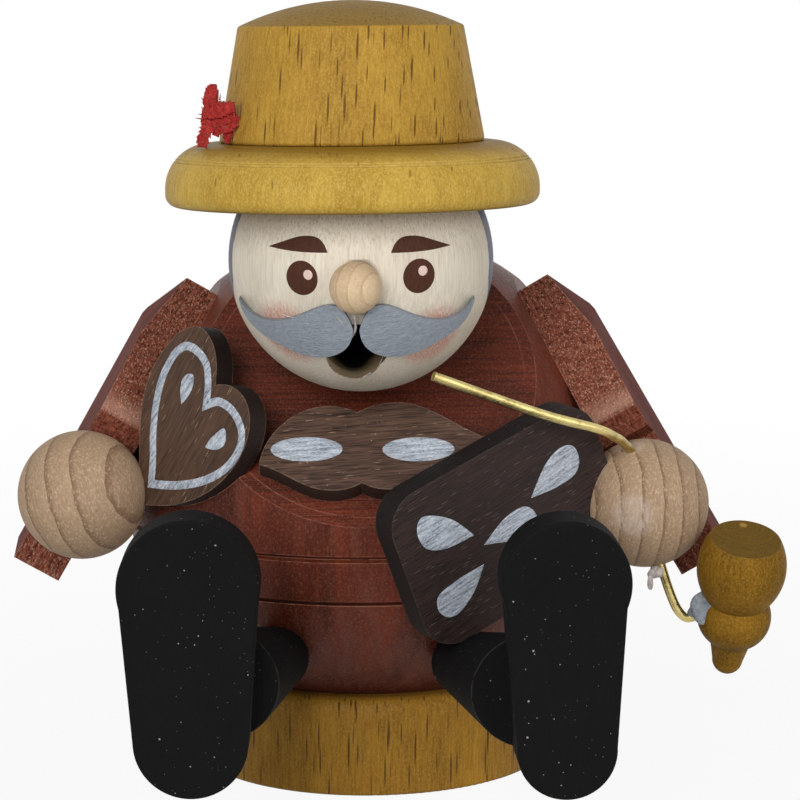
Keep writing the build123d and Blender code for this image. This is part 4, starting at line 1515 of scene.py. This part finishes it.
@dataclass(frozen=True)
class Pipe:
    """Brass stem and stained bowl, with the glue that holds them."""

    stem_places: tuple[Spot, ...] = (
        (8.75, -39.97, 61.05), (22.49, -35.17, 55.23), (30.37, -32.3, 52.51), (32.78, -30.0, 51.06),
        (34.42, -27.6, 49.58), (36.4, -25.0, 46.5), (38.0, -25.0, 39.0), (39.6, -25.3, 32.5),
        (41.11, -25.3, 27.86), (42.2, -25.3, 25.7), (43.45, -25.3, 24.88), (45.34, -25.3, 25.65),
        (46.4, -25.3, 26.0))
    stem_radius: float = 0.64
    grain_offset: float = 0.4
    bowl_joint: Vector = field(default_factory=lambda: Vector((45.7, -27.5, 26.9)))
    hand_exit: Vector = field(default_factory=lambda: Vector((39.1, -26.0, 31.6)))
    bowl_blobs: tuple = (((0.0, 0.0, 0.0), (1.45, 0.8, 2.0), 3, 0.3, 16),
                         ((-1.1, 1.6, -1.0), (1.1, 1.0, 0.95), 4, 0.25, 12))
    hand_blobs: tuple = (((0.0, 0.0, 0.0), (0.95, 0.8, 0.8), 5, 0.3, 12),
                         ((-0.9, -0.3, -1.3), (0.35, 0.25, 1.2), 9, 0.35, 12))

    def build(self) -> None:
        """Dress the stem and the bowl and make the glue."""
        brass = Metal("brass_wire", 0.3, grain=(1.0, 0.1, -0.4)).material()
        stem = Piece("stem_wire", "brass", brass, replaces=("pipe_stem",))
        line = smooth_line(self.stem_places, 8)
        stem.grow_strand(line, [self.stem_radius] * len(line), 20)
        stem.place()
        low, high = (Vector(corner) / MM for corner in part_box("pipe_bowl"))
        axis = (low + high) / 2
        dress(TurnedBeech("pipe_stain", 0.5, specular=0.06, light=shade(152, 110, 30), dark=shade(94, 64, 14),
                          ray=shade(56, 36, 12), rub=shade(184, 144, 66), end=shade(116, 90, 26),
                          end_dark=shade(66, 48, 12), flecks=Marks((0.8, 2.6, 5.0), 0.2, 0.4, 0.6),
                          axis=(axis.x - self.grain_offset, axis.y, 0.0), rub_width=0.3,
                          centre_mark=(0.7, 0.28)), "pipe_bowl")
        self.glue("bowl_glue", DriedGlue("dried_glue", 0.35), self.bowl_joint, self.bowl_blobs)
        shred = DriedGlue("glue_shred", clear=shade(232, 222, 214), cloudy=shade(196, 184, 178))
        self.glue("hand_glue", shred, self.hand_exit, self.hand_blobs)

    def glue(self, name: str, finish: DriedGlue, centre: Vector, blobs: tuple) -> None:
        """Make one lot of glue.

        Args:
            name: name of the piece.
            finish: its finish.
            centre: where it sits.
            blobs: offset, half sizes, seed, bumps and rows of each lump.
        """
        piece = Piece(name, "brass", finish.material())
        for offset, half, seed, bumps, rows in blobs:
            piece.grow_blob(centre + Vector(offset), half, seed, bumps, rows)
        piece.place()


@dataclass(frozen=True)
class Studio:
    """Camera, floor, lamps and white surroundings, in metres and watts."""

    camera_place: Spot = (0.0044, -0.450, 0.129)
    camera_pitch: float = 80.17
    camera_roll: float = -0.57
    focal_length: float = 144.0
    sensor: float = 36.0
    floor_reach: float = 6.0
    floor_light: Colour = shade(206, 206, 206)
    floor_dark: Colour = shade(200, 200, 199)
    floor_white: tuple = (0.06, 0.3, 0.92, 1.0)
    soft_light: float = 0.32
    aim: Vector = field(default_factory=lambda: Vector((0.0, -0.02, 0.05)))
    lamps: tuple = (("key_lamp", (-0.25, -0.77, 0.40), 0.42, 3.95),
                    ("fill_lamp", (0.55, -0.60, 0.30), 0.40, 1.6))

    def build(self) -> None:
        """Set the whole studio."""
        self.camera()
        self.floor()
        self.world()
        for lamp in self.lamps:
            self.lamp(*lamp)
        bpy.context.scene.view_settings.view_transform = "Standard"

    def camera(self) -> None:
        """Camera at the photograph's viewpoint."""
        lens = bpy.data.cameras.new("camera")
        lens.lens, lens.sensor_width = self.focal_length, self.sensor
        camera = bpy.data.objects.new("camera", lens)
        turn = Euler((math.radians(self.camera_pitch), 0.0, 0.0)).to_matrix()
        roll = Matrix.Rotation(math.radians(self.camera_roll), 3, "Z")
        camera.matrix_world = Matrix.Translation(self.camera_place) @ (turn @ roll).to_4x4()
        bpy.context.scene.collection.objects.link(camera)
        bpy.context.scene.camera = camera

    def seen(self, tree: Tree) -> Value:
        """Whether the camera or a reflection looks straight at it."""
        path = tree.node("ShaderNodeLightPath")
        return tree.math("MAXIMUM", *tree.take(path, "Is Camera Ray", "Is Glossy Ray"))

    def floor(self) -> None:
        """Plain pale floor that keeps the object's shadow and turns white away from it."""
        reach = self.floor_reach
        mesh = bpy.data.meshes.new("floor")
        corners = [(-reach, -reach, 0), (reach, -reach, 0), (reach, reach, 0), (-reach, reach, 0)]
        mesh.from_pydata(corners, [], [(0, 1, 2, 3)])
        material = bpy.data.materials.new("floor_paper")
        material.use_nodes = True
        tree = Tree(material.node_tree)
        shader = material.node_tree.nodes["Principled BSDF"]
        shader.inputs["Roughness"].default_value = 0.9
        place = tree.value("ShaderNodeTexCoord", "Object")
        mottle = tree.value("ShaderNodeTexNoise", "Fac", Vector=place, Scale=60.0, Detail=4.0)
        tree.feed(shader.inputs["Base Color"], tree.mix(mottle, self.floor_dark, self.floor_light))
        share = self.seen(tree) * tree.vector("LENGTH", place).remap(*self.floor_white)
        mixed = tree.node("ShaderNodeMixShader", Fac=share)
        tree.feed(mixed.inputs[1], Value(tree, shader.outputs[0]))
        tree.feed(mixed.inputs[2], tree.value("ShaderNodeEmission", Color=(1.0, 1.0, 1.0), Strength=1.0))
        surface = material.node_tree.nodes["Material Output"].inputs["Surface"]
        tree.feed(surface, Value(tree, mixed.outputs[0]))
        mesh.materials.append(material)
        floor = bpy.data.objects.new("floor", mesh)
        bpy.context.scene.collection.objects.link(floor)

    def world(self) -> None:
        """White surroundings that light softly."""
        world = bpy.context.scene.world or bpy.data.worlds.new("world")
        bpy.context.scene.world = world
        world.use_nodes = True
        world.node_tree.nodes.clear()
        tree = Tree(world.node_tree)
        strength = self.seen(tree).remap(0.0, 1.0, self.soft_light, 1.0)
        light = tree.value("ShaderNodeBackground", Color=(1.0, 1.0, 1.0), Strength=strength)
        tree.node("ShaderNodeOutputWorld", Surface=light)

    def lamp(self, name: str, place: Spot, size: float, power: float) -> None:
        """Square soft lamp aimed at the figure.

        Args:
            name: name of the lamp.
            place: where it stands.
            size: its side.
            power: its power.
        """
        light = bpy.data.lights.new(name, "AREA")
        light.size, light.energy = size, power
        lamp = bpy.data.objects.new(name, light)
        lamp.location = place
        lamp.rotation_euler = (self.aim - Vector(place)).to_track_quat("-Z", "Y").to_euler()
        bpy.context.scene.collection.objects.link(lamp)


def main() -> None:
    """Build the looks in order."""
    logging.basicConfig(level=logging.INFO, format="%(message)s")
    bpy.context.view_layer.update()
    for assembly in (Stand(), Torso(), Head(), Hat(), GingerbreadTray(), Pipe(), Studio()):
        log.info("building %s", type(assembly).__name__)
        assembly.build()


if __name__ == "__main__":
    main()
